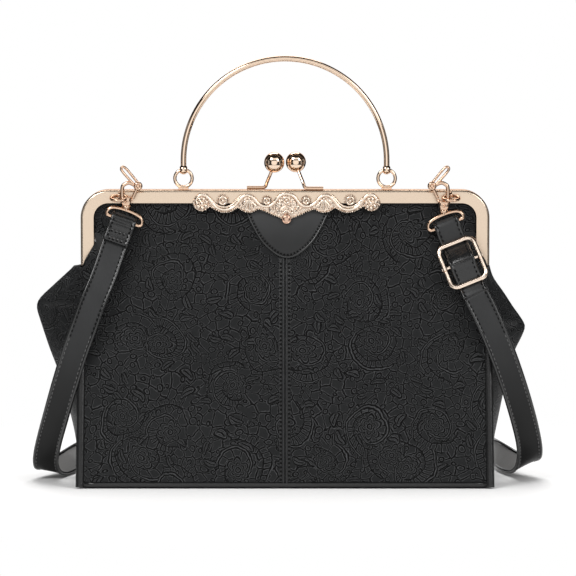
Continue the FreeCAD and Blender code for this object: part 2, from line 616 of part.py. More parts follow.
def make_hook(side):
    tag = SIDE_NAMES[side]
    inwards = -side
    name = f"hook_{tag}"
    body = doc.addObject("PartDesign::Body", name)
    claw = polygon(sketch(body, name + "_claw", "XZ_Plane"), [on_hook(s, inwards) for s in HOOK_SHARES])
    pad(body, claw, "hook_arm_depth", midplane=True)
    base = polygon(sketch(body, name + "_base", "XZ_Plane"), [on_hook(s, inwards) for s in BODY_SHARES])
    pad(body, base, "hook_body_depth", midplane=True)
    pad(body, circle(sketch(body, name + "_collar", "XY_Plane"), "0", "0", "collar_radius"), "collar_height")
    pivot = on_hook(PIVOT_SHARES, inwards)
    pad(body, circle(sketch(body, name + "_boss", "XZ_Plane"), *pivot, "boss_radius"), "boss_depth", midplane=True)
    slot = circle(sketch(body, name + "_slot", "XZ_Plane"), *pivot, "boss_radius + slot_room")
    pocket(body, slot, "gate_depth + 2 * gate_side_fit", midplane=True)
    hole = circle(sketch(body, name + "_pin_hole", "XZ_Plane"), *pivot, "gate_pin / 2")
    pocket(body, hole, "boss_depth + overrun", midplane=True)
    bore = circle(sketch(body, name + "_bore", "XY_Plane"), "0", "0", "stud_shank / 2 + stud_fit")
    pocket(body, bore, "2 * (stud_neck + stud_fit)", midplane=True)
    room = circle(sketch(body, name + "_room", "XY_Plane", "stud_neck + stud_cap_height / 2 + stud_fit"),
                  "0", "0", "stud_cap / 2 + stud_fit")
    pocket(body, room, "stud_cap_height + 2 * stud_fit", midplane=True)
    put(body, signed(side, hook_place), ring_y, hook_low)
    return keep(name, body)


def make_gate(side):
    """The sprung gate: a hub on the pin, a bar that shuts the hook and a thumb lever."""
    tag = SIDE_NAMES[side]
    inwards = -side
    name = f"gate_{tag}"
    body = doc.addObject("PartDesign::Body", name)
    pivot = on_hook(PIVOT_SHARES, inwards)
    pad(body, circle(sketch(body, name + "_hub", "XZ_Plane"), *pivot, "gate_hub"), "gate_depth", midplane=True)
    for part, way, length, wide in (("bar", GATE_SHARES, "gate_reach", "gate_bar"),
                                    ("lever", LEVER_SHARES, "lever_length", "lever_bar")):
        flat = polygon(sketch(body, f"{name}_{part}", "XZ_Plane"), bar_outline(pivot, way, length, wide, inwards))
        pad(body, flat, "gate_depth", midplane=True)
    start = (f"{pivot[0]} + {inwards * LEVER_SHARES[0]} * (lever_length - lever_pad_length)",
             f"{pivot[1]} + {LEVER_SHARES[1]} * (lever_length - lever_pad_length)")
    thumb = polygon(sketch(body, name + "_thumb", "XZ_Plane"),
                    bar_outline(start, LEVER_SHARES, "lever_pad_length", "lever_bar", inwards))
    pad(body, thumb, "lever_pad", midplane=True)
    hole = circle(sketch(body, name + "_hole", "XZ_Plane"), *pivot, "gate_pin / 2 + gate_pin_fit")
    pocket(body, hole, "gate_depth + overrun", midplane=True)
    put(body, signed(side, hook_place), ring_y, hook_low)
    return keep(name, body)


def frame_at(origin, angle, side):
    """The strap's own directions at one eye: across it, down along it and out of its front."""
    lean = SIZES["strap_lean_share"]
    turn = math.radians(angle)
    across = Vector(math.cos(turn), 0, side * math.sin(turn))
    down = Vector(side * math.sin(turn), -lean, -math.cos(turn)).normalize()
    front = across.cross(down)
    if front.y > 0:
        front = front * -1
    return origin, across, down, front.normalize()


def spot(axes, p, q, n):
    """A point given across the strap, down it and in front of it."""
    origin, across, down, front = axes
    return origin + across * p + down * q + front * n


def wire_loop(axes, wide, low, high, corner, radius):
    """A closed loop of round wire: straight runs with rounded corners."""
    w = wide / 2
    corners = [(-w, low), (w, low), (w, high), (-w, high)]
    edges = []
    points = []
    for i, (p, q) in enumerate(corners):
        back, ahead = corners[i - 1], corners[(i + 1) % 4]
        ends = []
        for a, b in (back, ahead):
            way = Vector(a - p, b - q, 0).normalize()
            ends.append((p + way.x * corner, q + way.y * corner))
        mid = Vector(p, q, 0)
        centre = Vector(ends[0][0] + ends[1][0] - p, ends[0][1] + ends[1][1] - q, 0)
        inner = centre + (mid - centre).normalize() * corner
        points.append((ends[0], (inner.x, inner.y), ends[1]))
    for i, (start, middle, end) in enumerate(points):
        edges.append(Part.Arc(*(spot(axes, p, q, 0) for p, q in (start, middle, end))).toShape())
        edges.append(Part.LineSegment(spot(axes, *end, 0), spot(axes, *points[(i + 1) % 4][0], 0)).toShape())
    path = Part.Wire(edges)
    start = spot(axes, *points[0][2], 0)
    along = spot(axes, *points[1][0], 0) - start
    section = Part.Wire(Part.Circle(start, along, radius).toShape())
    path = Part.Wire(edges[1:] + edges[:1])
    return path.makePipeShell([section], True, False)


def prism(axes, outline, wide):
    """A flat strip whose edge outline, in down and front, is carried across the strap."""
    edges = []
    for piece in outline:
        spots = [spot(axes, -wide / 2, q, n) for q, n in piece]
        edges.append((Part.Arc(*spots) if len(spots) == 3 else Part.LineSegment(*spots)).toShape())
    return Part.Face(Part.Wire(edges)).extrude(axes[1] * wide)


def eye_axes(side):
    """The strap's directions, from the middle of the eye's bar."""
    angle = SIZES[f"{SIDE_NAMES[side]}_strap_angle"]
    turn = math.radians(angle)
    top = Vector(side * size(hook_place), size(ring_y), size(f"{hook_low} - eye_drop"))
    rise = size("eye_height")
    origin = top + Vector(side * math.sin(turn), 0, -math.cos(turn)) * rise
    return frame_at(origin, angle, side)


def flat_axes(side):
    """The eye's own plane stays upright while the strap leans."""
    origin, across, _, _ = eye_axes(side)
    down = across.cross(Vector(0, 1, 0))
    if down.z > 0:
        down = down * -1
    return origin, across, down, Vector(0, -1, 0)


def make_eye(side):
    """A swivel stud with a cap inside the hook and a loop of wire for the strap."""
    tag = SIDE_NAMES[side]
    loop = wire_loop(flat_axes(side), size("eye_width"), 0, -size("eye_height"), size("eye_corner"),
                     size("eye_wire / 2"))
    at = Vector(side * size(hook_place), size(ring_y), size(hook_low))
    neck = size("stud_neck + 2 * stud_fit")
    drop = size("eye_drop")
    shank = Part.makeCylinder(size("stud_shank / 2"), drop + neck, at - Vector(0, 0, drop))
    cap = Part.makeCylinder(size("stud_cap / 2"), size("stud_cap_height - 2 * stud_fit"), at + Vector(0, 0, neck))
    return feature(f"eye_{tag}", loop.fuse([shank, cap]).removeSplitter())


for side in (LEFT, RIGHT):
    tag = SIDE_NAMES[side]
    place = signed(side, f"{hook_place} + ring_offset")
    level = Rotation(Vector(1, 0, 0), SIZES["ring_dip"])
    ring = solid("Part::Torus", f"strap_ring_{tag}", Radius1="ring_radius", Radius2="ring_wire / 2")
    keep(f"strap_ring_{tag}", put(ring, place, ring_y, ring_z, level))
    loop = solid("Part::Torus", f"staple_loop_{tag}", Radius1="ring_wire / 2 + staple_fit + staple_wire / 2",
                 Radius2="staple_wire / 2")
    put(loop, place, ring_pivot_y, ring_pivot_z, ALONG_X)
    wall = solid("Part::Box", f"staple_trim_{tag}", Length="frame_face", Width="channel_depth", Height="2 * frame_face")
    put(wall, f"{place} - frame_face / 2", f"-({far_face})", "frame_top - 1.5 * frame_face")
    land = solid("Part::Cylinder", f"staple_land_{tag}", Radius="ring_wire / 2 + staple_fit + bore_land",
                 Height="staple_wire")
    put(land, f"{place} - staple_wire / 2", ring_pivot_y, ring_pivot_z, TO_X)
    keep(f"staple_{tag}", cut(f"staple_{tag}", loop, fuse(f"staple_room_{tag}", wall, land)))
    make_hook(side)
    make_gate(side)
    pivot = on_hook(PIVOT_SHARES, -side)
    pin = solid("Part::Cylinder", f"gate_pin_{tag}", Radius="gate_pin / 2", Height="boss_depth")
    put(pin, f"{place} - {signed(side, 'ring_offset')} + {pivot[0]}", f"{ring_y} - boss_depth / 2",
        f"{hook_low} + {pivot[1]}", ALONG_Y)
    keep(f"gate_pin_{tag}", pin)
    make_eye(side)


# Strap: route points are x, y, z and how far the band has turned from facing forwards to standing on edge

LEFT_ROUTE = [
    (-110.6, -27.6, 124.5, 0), (-116.5, -31.6, 111.0, 0), (-121.8, -34.2, 96.0, 0), (-127.9, -34.6, 80.0, 0),
    (-134.0, -33.4, 60.0, 0), (-139.8, -26.0, 40.0, 6), (-145.0, -14.0, 22.0, 24), (-148.2, 0.5, 12.0, 56),
    (-148.6, 14.0, 8.9, 82), (-146.0, 30.0, 8.4, 90), (-140.0, 46.0, 8.4, 90),
]
FLOOR_ROUTE = [
    (-140.0, 46.0), (-129.0, 62.0), (-104.0, 71.0), (-40.0, 69.0), (36.0, 71.0), (104.0, 70.0), (105.0, 98.0),
    (40.0, 97.0), (-38.0, 99.0), (-104.0, 98.0), (-105.0, 126.0), (-44.0, 125.0), (34.0, 127.0), (96.0, 124.0),
    (126.0, 110.0), (141.0, 84.0), (149.0, 52.0), (152.0, 26.0),
]
RIGHT_ROUTE = [
    (119.4, -32.6, 108.5, 0), (126.6, -35.0, 93.0, 0), (133.5, -34.4, 76.0, 0), (140.0, -30.2, 57.0, 0),
    (145.5, -22.5, 39.0, 6), (150.3, -13.0, 21.0, 24), (153.2, -2.0, 12.0, 56), (153.6, 11.0, 8.9, 82),
    (152.0, 26.0, 8.4, 90),
]
floor_height = LEFT_ROUTE[-1][2]


def band(centre, along, turn, side):
    """One cross-section of the strap, turned about its line."""
    forward = Vector(0, -1, 0)
    outward = Vector(side, 0, 0)
    forward = forward - along * forward.dot(along)
    outward = outward - along * outward.dot(along)
    lean = math.radians(turn)
    front = outward.normalize() if turn == 90 else forward.normalize() * math.cos(lean) + outward.normalize() * math.sin(lean)
    front = (front - along * front.dot(along)).normalize()
    return section_at(centre, along.cross(front).normalize(), front)


def section_at(centre, across, front):
    w, t = size("strap_width / 2"), size("strap_thick / 2")
    corners = [centre + across * (w * a) + front * (t * b) for a, b in ((-1, -1), (1, -1), (1, 1), (-1, 1))]
    return Part.makePolygon(corners + corners[:1])


def band_sections(route, side, start, floor_end, floor_way):
    """Sections along a route from its end near the hook; the last one is square to the run on the floor."""
    climb = size("frame_top / route_height")
    spots = [start] + [Vector(x, y, floor_height + (z - floor_height) * climb) for x, y, z, turn in route]
    sections = []
    for i, point in enumerate(route, start=1):
        along = floor_way if i == floor_end else spots[i + 1] - spots[i - 1]
        sections.append(band(spots[i], along.normalize(), point[3], side))
    return sections


def side_section(axes, q, n):
    """A cross-section square to the strap near its hook, in the order that band gives."""
    origin, across, down, front = axes
    return section_at(spot(axes, 0, q, n), down.cross(front).normalize(), front)


def make_strap_left():
    axes = eye_axes(LEFT)
    ply = size("strap_thick / 2 + strap_ply_gap / 2")
    low = size("strap_flap + strap_thick")
    first, second = (Vector(*point, floor_height) for point in FLOOR_ROUTE[:2])
    lower = band_sections(LEFT_ROUTE, LEFT, spot(axes, 0, low, -ply), len(LEFT_ROUTE), second - first)
    sections = [side_section(axes, low, -ply)] + lower
    return feature("strap_left", Part.makeLoft(sections, True, True))


def make_fold_left():
    """The strap's end: round the eye's bar, down in front and sewn to itself."""
    axes = eye_axes(LEFT)
    inner = size("eye_wire / 2 + strap_fold_gap")
    outer = inner + size("strap_thick")
    gap = size("strap_ply_gap / 2")
    thick = size("strap_thick")
    taper, flap, low = size("strap_taper"), size("strap_flap"), size("strap_flap + strap_thick")
    outline = [
        ((0, outer), (-outer, 0), (0, -outer)), ((0, -outer), (taper, -gap - thick)),
        ((taper, -gap - thick), (low, -gap - thick)), ((low, -gap - thick), (low, -gap)), ((low, -gap), (taper, -gap)),
        ((taper, -gap), (0, -inner)), ((0, -inner), (-inner, 0), (0, inner)), ((0, inner), (taper, gap)),
        ((taper, gap), (flap, gap)), ((flap, gap), (flap, gap + thick)), ((flap, gap + thick), (taper, gap + thick)),
        ((taper, gap + thick), (0, outer)),
    ]
    return feature("strap_end_left", prism(axes, outline, size("strap_width")))


def slider_line():
    """Where the strap runs past the slider's three bars: down along it and in front of it."""
    mid, half = size("slider_place"), size("slider_length / 2")
    behind = -size("slider_wire / 2 + strap_thick / 2 + slider_room")
    over = size("slider_bar / 2 + strap_thick / 2 + slider_room")
    flat = size("slider_flat")
    return [(at + step * flat, n) for at, n in ((mid - half, behind), (mid, over), (mid + half, behind))
            for step in (-1, 1)]


def make_strap_right():
    axes = eye_axes(RIGHT)
    start_n = size("eye_wire / 2 + strap_fold_gap + strap_thick / 2")
    line = [(size("fold_straight"), start_n)] + slider_line()
    upper = [side_section(axes, q, n) for q, n in line]
    first, second = (Vector(*point, floor_height) for point in FLOOR_ROUTE[-2:])
    lower = band_sections(RIGHT_ROUTE, RIGHT, spot(axes, 0, *line[-1]), len(RIGHT_ROUTE), first - second)
    sections = upper + lower
    return feature("strap_right", Part.makeLoft(sections, True, True))


def make_fold_right():
    """The strap goes round the eye's bar and its tail runs back behind to the slider's bar."""
    axes = eye_axes(RIGHT)
    inner = size("eye_wire / 2 + strap_fold_gap")
    thick = size("strap_thick")
    outer = inner + thick
    straight = size("fold_straight")
    top = size("slider_place - slider_length / 2")
    mid = size("slider_place")
    clear = size("slider_wire / 2 + strap_thick + slider_room + tail_room")
    bar = size("slider_bar / 2 + slider_room")
    flat = size("slider_flat")
    outline = [
        ((0, outer), (-outer, 0), (0, -outer)), ((0, -outer), (top - 2 * flat, -clear - thick)),
        ((top - 2 * flat, -clear - thick), (top + flat, -clear - thick)),
        ((top + flat, -clear - thick), (mid, -bar - thick)), ((mid, -bar - thick), (mid, -bar)),
        ((mid, -bar), (top + flat, -clear)), ((top + flat, -clear), (top - 2 * flat, -clear)),
        ((top - 2 * flat, -clear), (0, -inner)), ((0, -inner), (-inner, 0), (0, inner)),
        ((0, inner), (straight, inner)), ((straight, inner), (straight, outer)), ((straight, outer), (0, outer)),
    ]
    return feature("strap_end_right", prism(axes, outline, size("strap_width")))


def make_strap_back():
    """The long run behind the bag, standing on its edge: straight runs joined by tangent arcs."""
    points = [Vector(x, y, floor_height) for x, y in FLOOR_ROUTE]
    edges, radii = [], []
    here = points[0]
    for before, corner, after in zip(points, points[1:], points[2:]):
        back, ahead = before - corner, after - corner
        half_turn = (math.pi - back.getAngle(ahead)) / 2
        reach = 0.45 * min(back.Length, ahead.Length)
        radii.append(reach / math.tan(half_turn))
        start = corner + back.normalize() * reach
        end = corner + ahead.normalize() * reach
        bisector = (back + ahead).normalize()
        middle = corner + bisector * (radii[-1] / math.cos(half_turn) - radii[-1])
        edges.append(Part.LineSegment(here, start).toShape())
        edges.append(Part.Arc(start, middle, end).toShape())
        here = end
    edges.append(Part.LineSegment(here, points[-1]).toShape())
    path = Part.Wire(edges)
    along = (points[1] - points[0]).normalize()
    section = section_at(points[0], Vector(0, 0, 1), along.cross(Vector(0, 0, 1)).normalize())
    print("strap behind the bag: radii", [round(r, 1) for r in radii], "length", round(path.Length, 1))
    run = path.makePipeShell([section], True, False)
    print("volume over section times length", round(run.Volume / (path.Length * size("strap_width * strap_thick")), 4))
    return feature("strap_back", run)


make_strap_left()
make_fold_left()
make_strap_right()
make_fold_right()
make_strap_back()


def make_slider():
    axes = eye_axes(RIGHT)
    mid, half = size("slider_place"), size("slider_length / 2")
    loop = wire_loop(axes, size("slider_width"), mid - half, mid + half, size("slider_corner"), size("slider_wire / 2"))
    feature("slider_loop", loop)
    wide = size("slider_width")
    origin, across, down, front = axes
    bar = Part.makeCylinder(size("slider_bar / 2"), wide, spot(axes, -wide / 2, mid, 0), across)
    for end in (LEFT, RIGHT):
        length = size("slider_sleeve_length")
        low = spot(axes, end * wide / 2, mid - length / 2, 0)
        bar = bar.fuse(Part.makeCylinder(size("slider_sleeve / 2"), length, low, down))
    for end in (LEFT, RIGHT):
        length = size("slider_sleeve_length + overrun")
        low = spot(axes, end * wide / 2, mid - length / 2, 0)
        bar = bar.cut(Part.makeCylinder(size("slider_wire / 2 + slider_fit"), length, low, down))
    feature("slider_bar", bar.removeSplitter())


make_slider()

doc.recompute()
for thing in doc.Objects:
    assert not {"Invalid", "Error"} & set(thing.State), f"{thing.Name}: {thing.State}"
os.makedirs("parts", exist_ok=True)
for name, thing in nodes.items():
    assert not thing.Shape.isNull() and thing.Shape.isValid(), f"{name} has no valid shape"
    assert thing.Shape.Volume > 0, f"{name} is inside out"
for name, thing in nodes.items():
    thing.Shape.exportStep(f"parts/{name}.step")
print(len(nodes), "sub-parts")
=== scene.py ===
# Kiss lock frame purse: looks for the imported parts. Metres, +Z up, the front faces -Y.
from functools import partialmethod
from itertools import accumulate
from math import copysign, cos, hypot, pi, radians, sin
import bmesh
import bpy
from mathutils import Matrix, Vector, noise


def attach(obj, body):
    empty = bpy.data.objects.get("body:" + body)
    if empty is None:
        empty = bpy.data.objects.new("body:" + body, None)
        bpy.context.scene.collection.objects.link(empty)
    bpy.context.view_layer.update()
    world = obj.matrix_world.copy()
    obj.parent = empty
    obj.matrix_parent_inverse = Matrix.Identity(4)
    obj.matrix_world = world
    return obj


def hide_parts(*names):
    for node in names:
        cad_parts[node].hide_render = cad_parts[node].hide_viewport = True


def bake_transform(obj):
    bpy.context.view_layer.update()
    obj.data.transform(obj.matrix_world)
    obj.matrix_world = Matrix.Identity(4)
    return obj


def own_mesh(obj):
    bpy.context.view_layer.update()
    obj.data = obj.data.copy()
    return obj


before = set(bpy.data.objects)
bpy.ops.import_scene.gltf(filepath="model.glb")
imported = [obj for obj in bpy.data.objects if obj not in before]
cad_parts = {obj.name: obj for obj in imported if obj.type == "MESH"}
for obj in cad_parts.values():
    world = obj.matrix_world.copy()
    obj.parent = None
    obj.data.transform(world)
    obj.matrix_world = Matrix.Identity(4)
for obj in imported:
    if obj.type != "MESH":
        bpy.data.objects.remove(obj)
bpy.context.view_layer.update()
MM = 0.001
AFT = Vector((0, 1, 0))


# Shader tools

class Tone:
    """A number, colour or vector on its way through a shader, with plain arithmetic for numbers."""

    def __init__(self, nodes, socket):
        self.nodes = nodes
        self.socket = socket

    def other(self, name):
        return Tone(self.nodes, self.socket.node.outputs[name])

    def math(self, kind, *others):
        return self.nodes.node("Math", {"operation": kind}, dict(enumerate((self, *others))))

    def __rsub__(self, other):
        return (self * -1).math("ADD", other)

    __add__ = __radd__ = partialmethod(math, "ADD")
    __sub__ = partialmethod(math, "SUBTRACT")
    __mul__ = __rmul__ = partialmethod(math, "MULTIPLY")
    __truediv__ = partialmethod(math, "DIVIDE")
    most = partialmethod(math, "MAXIMUM")
    least = partialmethod(math, "MINIMUM")
    size = partialmethod(math, "ABSOLUTE")


class Nodes:
    """A node tree that is filled one node at a time."""

    def __init__(self, tree):
        self.tree = tree

    def feed(self, slot, value):
        if isinstance(value, Tone):
            self.tree.links.new(value.socket, slot)
        else:
            slot.default_value = value

    def node(self, kind, settings, sockets, out=0):
        node = self.tree.nodes.new("ShaderNode" + kind)
        for name, value in settings.items():
            setattr(node, name, value)
        for name, value in sockets.items():
            self.feed(node.inputs[name], value)
        return Tone(self, node.outputs[out])

    def vector(self, kind, *values):
        return self.node("VectorMath", {"operation": kind}, dict(enumerate(values)))

    def scaled(self, vector, amount):
        return self.node("VectorMath", {"operation": "SCALE"}, {0: vector, "Scale": amount})

    def parts(self, vector):
        x = self.node("SeparateXYZ", {}, {0: vector}, "X")
        return x, x.other("Y"), x.other("Z")

    def mix(self, share, low, high):
        return self.node("Mix", {"data_type": "RGBA"}, {0: share, 6: low, 7: high}, 2)

    def ramp(self, value, start, end, low=0, high=1):
        limits = {"Value": value, "From Min": start, "From Max": end, "To Min": low, "To Max": high}
        return self.node("MapRange", {"interpolation_type": "SMOOTHSTEP"}, limits)

    def noise(self, vector, scale, detail=2, out="Fac"):
        return self.node("TexNoise", {}, {"Vector": vector, "Scale": scale, "Detail": detail}, out)

    def cells(self, vector, scale, feature="F1", loose=1, out="Distance"):
        return self.node("TexVoronoi", {"feature": feature, "voronoi_dimensions": "2D"},
                         {"Vector": vector, "Scale": scale, "Randomness": loose}, out)

    def rays(self):
        """Rays from the camera, and those together with their reflections."""
        straight = self.node("LightPath", {}, {}, "Is Camera Ray")
        mirrored = straight.other("Is Glossy Ray").most(straight.other("Is Transmission Ray"))
        return straight, straight.most(mirrored)

    def end(self, share, first, second, output):
        """Two shaders mixed into the tree's output."""
        mixer = self.tree.nodes.new("ShaderNodeMixShader")
        self.feed(mixer.inputs[0], share)
        self.tree.links.new(first.outputs[0], mixer.inputs[1])
        self.tree.links.new(second.outputs[0], mixer.inputs[2])
        self.tree.links.new(mixer.outputs[0], self.tree.nodes[output].inputs["Surface"])


class Paint(Nodes):
    """A material: its nodes end in one Principled shader."""

    def __init__(self, name, constants):
        self.material = bpy.data.materials.new(name)
        self.material.use_nodes = True
        super().__init__(self.material.node_tree)
        self.shader = self.tree.nodes["Principled BSDF"]
        for socket, value in constants.items():
            self.shader.inputs[socket].default_value = value

    def place(self, kind="Object"):
        return self.node("TexCoord", {}, {}, kind)

    def set(self, socket, value):
        self.feed(self.shader.inputs[socket], value)

    def bump(self, height, deep):
        self.set("Normal", self.node("Bump", {}, {"Height": height, "Distance": deep}))

    def skin(self, share, low, high, rough, *limits):
        """The finished material: a colour between two others, and a roughness within limits."""
        self.set("Base Color", self.mix(share, low, high))
        self.set("Roughness", self.ramp(rough, *limits))
        return self.material


def grey(level, warm=0):
    return level * (1 + warm), level, level * (1 - warm), 1


# Camera, light and floor

def add_camera():
    """A long lens, level with the middle of the bag and a little above it."""
    target = Vector((1.8, -7, 118)) * MM
    distance, rise, view_width = 2.2, radians(4.6), 0.3525
    lens = bpy.data.cameras.new("camera")
    lens.lens = lens.sensor_width * distance / view_width
    lens.clip_end = 60
    view = bpy.data.objects.new("camera", lens)
    view.location = target + Vector((0, -cos(rise), sin(rise))) * distance
    view.rotation_euler = (pi / 2 - rise, 0, 0)
    bpy.context.collection.objects.link(view)
    bpy.context.scene.camera = view


def add_lamp(name, place, target, wide, high, power, mirrored=True):
    lamp = bpy.data.lights.new(name, "AREA")
    lamp.shape = "RECTANGLE"
    lamp.size, lamp.size_y = wide, high
    lamp.energy = power
    stand = bpy.data.objects.new(name, lamp)
    stand.location = place
    stand.visible_glossy = mirrored
    way = Vector(target) - Vector(place)
    stand.rotation_euler = way.to_track_quat("-Z", "Y").to_euler()
    bpy.context.collection.objects.link(stand)


def add_world():
    """White to look at, with pale cards all round for gloss and metal, and dark between them."""
    world = bpy.data.worlds.new("studio")
    world.use_nodes = True
    bpy.context.scene.world = world
    sky = Nodes(world.node_tree)
    x, y, z = sky.parts(sky.node("TexCoord", {}, {}, "Generated"))
    side = x.size()
    front_card = sky.ramp(y, -0.78, -0.9) * sky.ramp(z, 0.42, 0.32) * 1.1
    high_card = sky.ramp(z, 0.5, 0.58) * sky.ramp(z, 0.82, 0.74) * sky.ramp(y, -0.1, -0.25) * 1.2
    high_card = high_card * sky.ramp(side, 0.6, 0.48)
    side_cards = sky.ramp(side, 0.8, 0.86) * sky.ramp(side, 0.97, 0.93) * sky.ramp(z.size(), 0.4, 0.25)
    back_card = sky.ramp(y, 0.84, 0.93) * sky.ramp(z, -0.08, 0) * sky.ramp(side, 0.4, 0.3)
    cards = front_card.most(high_card).most(side_cards * 0.4).most(back_card) * sky.ramp(z, -0.5, -0.4)
    straight, seen = sky.rays()
    white = sky.tree.nodes["Background"]
    room = sky.tree.nodes.new("ShaderNodeBackground")
    for light, strength in ((white, straight.most(cards * 0.98 + 0.02)), (room, 0.5)):
        light.inputs["Color"].default_value = (1, 1, 1, 1)
        sky.feed(light.inputs["Strength"], strength)
    sky.end(seen, room, white, "World Output")


def add_floor():
    """A round pale sheet that runs out to the same white as the room."""
    fresh()
    bpy.ops.mesh.primitive_circle_add(vertices=96, radius=0.42, fill_type="NGON",
                                      location=(0, 0.06, -0.0003))
    floor = bpy.context.object
    floor.name = "floor"
    bpy.ops.object.transform_apply(location=True, rotation=False, scale=True)
    paint = Paint("floor_white", {"Roughness": 0.9, "Specular IOR Level": 0})
    spot = paint.place()
    paint.set("Base Color", paint.mix(paint.noise(spot, 300), grey(0.82, 0.005), grey(0.85, 0.005)))
    x, y, z = paint.parts(spot)
    far = ((x * 0.8).math("POWER", 2) + (y - 0.02).math("POWER", 2)).math("SQRT")
    paper = paint.tree.nodes.new("ShaderNodeEmission")
    paint.end(paint.rays()[1] * paint.ramp(far, 0.13, 0.3), paint.shader, paper, "Material Output")
    floor.data.materials.append(paint.material)


def fresh():
    bpy.ops.object.select_all(action="DESELECT")


bpy.context.scene.view_settings.view_transform = "Standard"
add_camera()
add_world()
add_floor()
add_lamp("key", (-0.8, -0.9, 1.2), (0, 0, 0.1), 0.6, 0.6, 9)
add_lamp("fill", (1, -1, 0.9), (0, 0, 0.1), 0.5, 0.7, 5)
add_lamp("rim", (-0.1, 0.9, 1.1), (0, 0, 0.14), 0.9, 0.5, 6)
add_lamp("top", (0.1, 0.2, 1.5), (0, 0, 0.12), 1.2, 0.8, 13, False)


# Metals

PLATED = {"Metallic": 1, "Specular Tint": (0.8, 0.52, 0.38, 1)}


def gold(name, base, low, high, mottle):
    """Plated metal: faint cloudiness in its colour and fine polishing marks in its gloss."""
    paint = Paint(name, PLATED)
    spot = paint.place()
    cloud = paint.noise(spot, 55, 3)
    fine = paint.noise(paint.vector("MULTIPLY", spot, (0.25, 1, 1)), 5200, 2)
    dull = tuple(level * mottle for level in base[:3]) + (1,)
    paint.bump(fine, 0.000004)
    return paint.skin(cloud, dull, base, cloud * 0.6 + fine * 0.4, 0.25, 0.75, low, high)


def cast_gold():
    """The ornament: painted brown shade in its hollows, bright on its raised lines, and granular as a fine
    casting is.
    """
    paint = Paint("cast_gold", PLATED)
    spot = paint.place()
    x, y, z = paint.parts(spot)
    flat = paint.node("CombineXYZ", {}, {"X": x, "Y": z})
    deep = paint.ramp(y, -0.0101, -0.0091)
    grain = paint.cells(flat, 800, "SMOOTH_F1")
    rough = paint.noise(spot, 900, 3)
    # Painted shade: the hollows are coloured towards brown, with random mottle over the whole casting.
    hollow_shade_and_mottle = (deep * paint.ramp(grain, 0.15, 0.6) + (rough - 0.5) * 0.4).most(0).least(1)
    paint.bump(grain * deep * -1 + rough * 0.15, 0.0005)
    bright, hollow_shade_brown = (0.97, 0.83, 0.69, 1), (0.36, 0.2, 0.12, 1)
    return paint.skin(hollow_shade_and_mottle * 0.8, bright, hollow_shade_brown, rough + deep * 0.3, 0.3, 1, 0.16, 0.36)


satin_gold = gold("satin_gold", (0.78, 0.63, 0.49, 1), 0.22, 0.34, 0.96)
polished_gold = gold("polished_gold", (0.94, 0.73, 0.56, 1), 0.05, 0.11, 0.93)
pale_gold = gold("pale_gold", (0.97, 0.8, 0.66, 1), 0.16, 0.24, 0.96)
fitting_gold = gold("fitting_gold", (0.78, 0.55, 0.4, 1), 0.05, 0.1, 0.9)
stud_gold = gold("rose_gold", (0.72, 0.48, 0.36, 1), 0.12, 0.24, 0.9)
ornament_gold = cast_gold()


# Leathers and cloth

LACE_UNIT = 100
TURN = 6.2832
FAR_OFF = 9
PRESS = 0.45


def around(paint, spot, cell, loose, shift):
    """A point from the middle of its own motif: across, up, how far, its angle and a chance number."""
    moved = paint.vector("ADD", spot, shift)
    middle = paint.cells(moved, 1 / cell, "F1", loose, "Position")
    x, y, flat = paint.parts(paint.vector("SUBTRACT", moved, middle))
    chance = paint.parts(middle.other("Color"))[0]
    far = (x * x + y * y).math("SQRT")
    return x, y, far, y.math("ARCTAN2", x), chance


def either(inside, shape, ground):
    """The lines of a shape where a point is inside it, and those of the ground outside it."""
    return (ground + inside * FAR_OFF).least(shape + (1 - inside) * FAR_OFF)


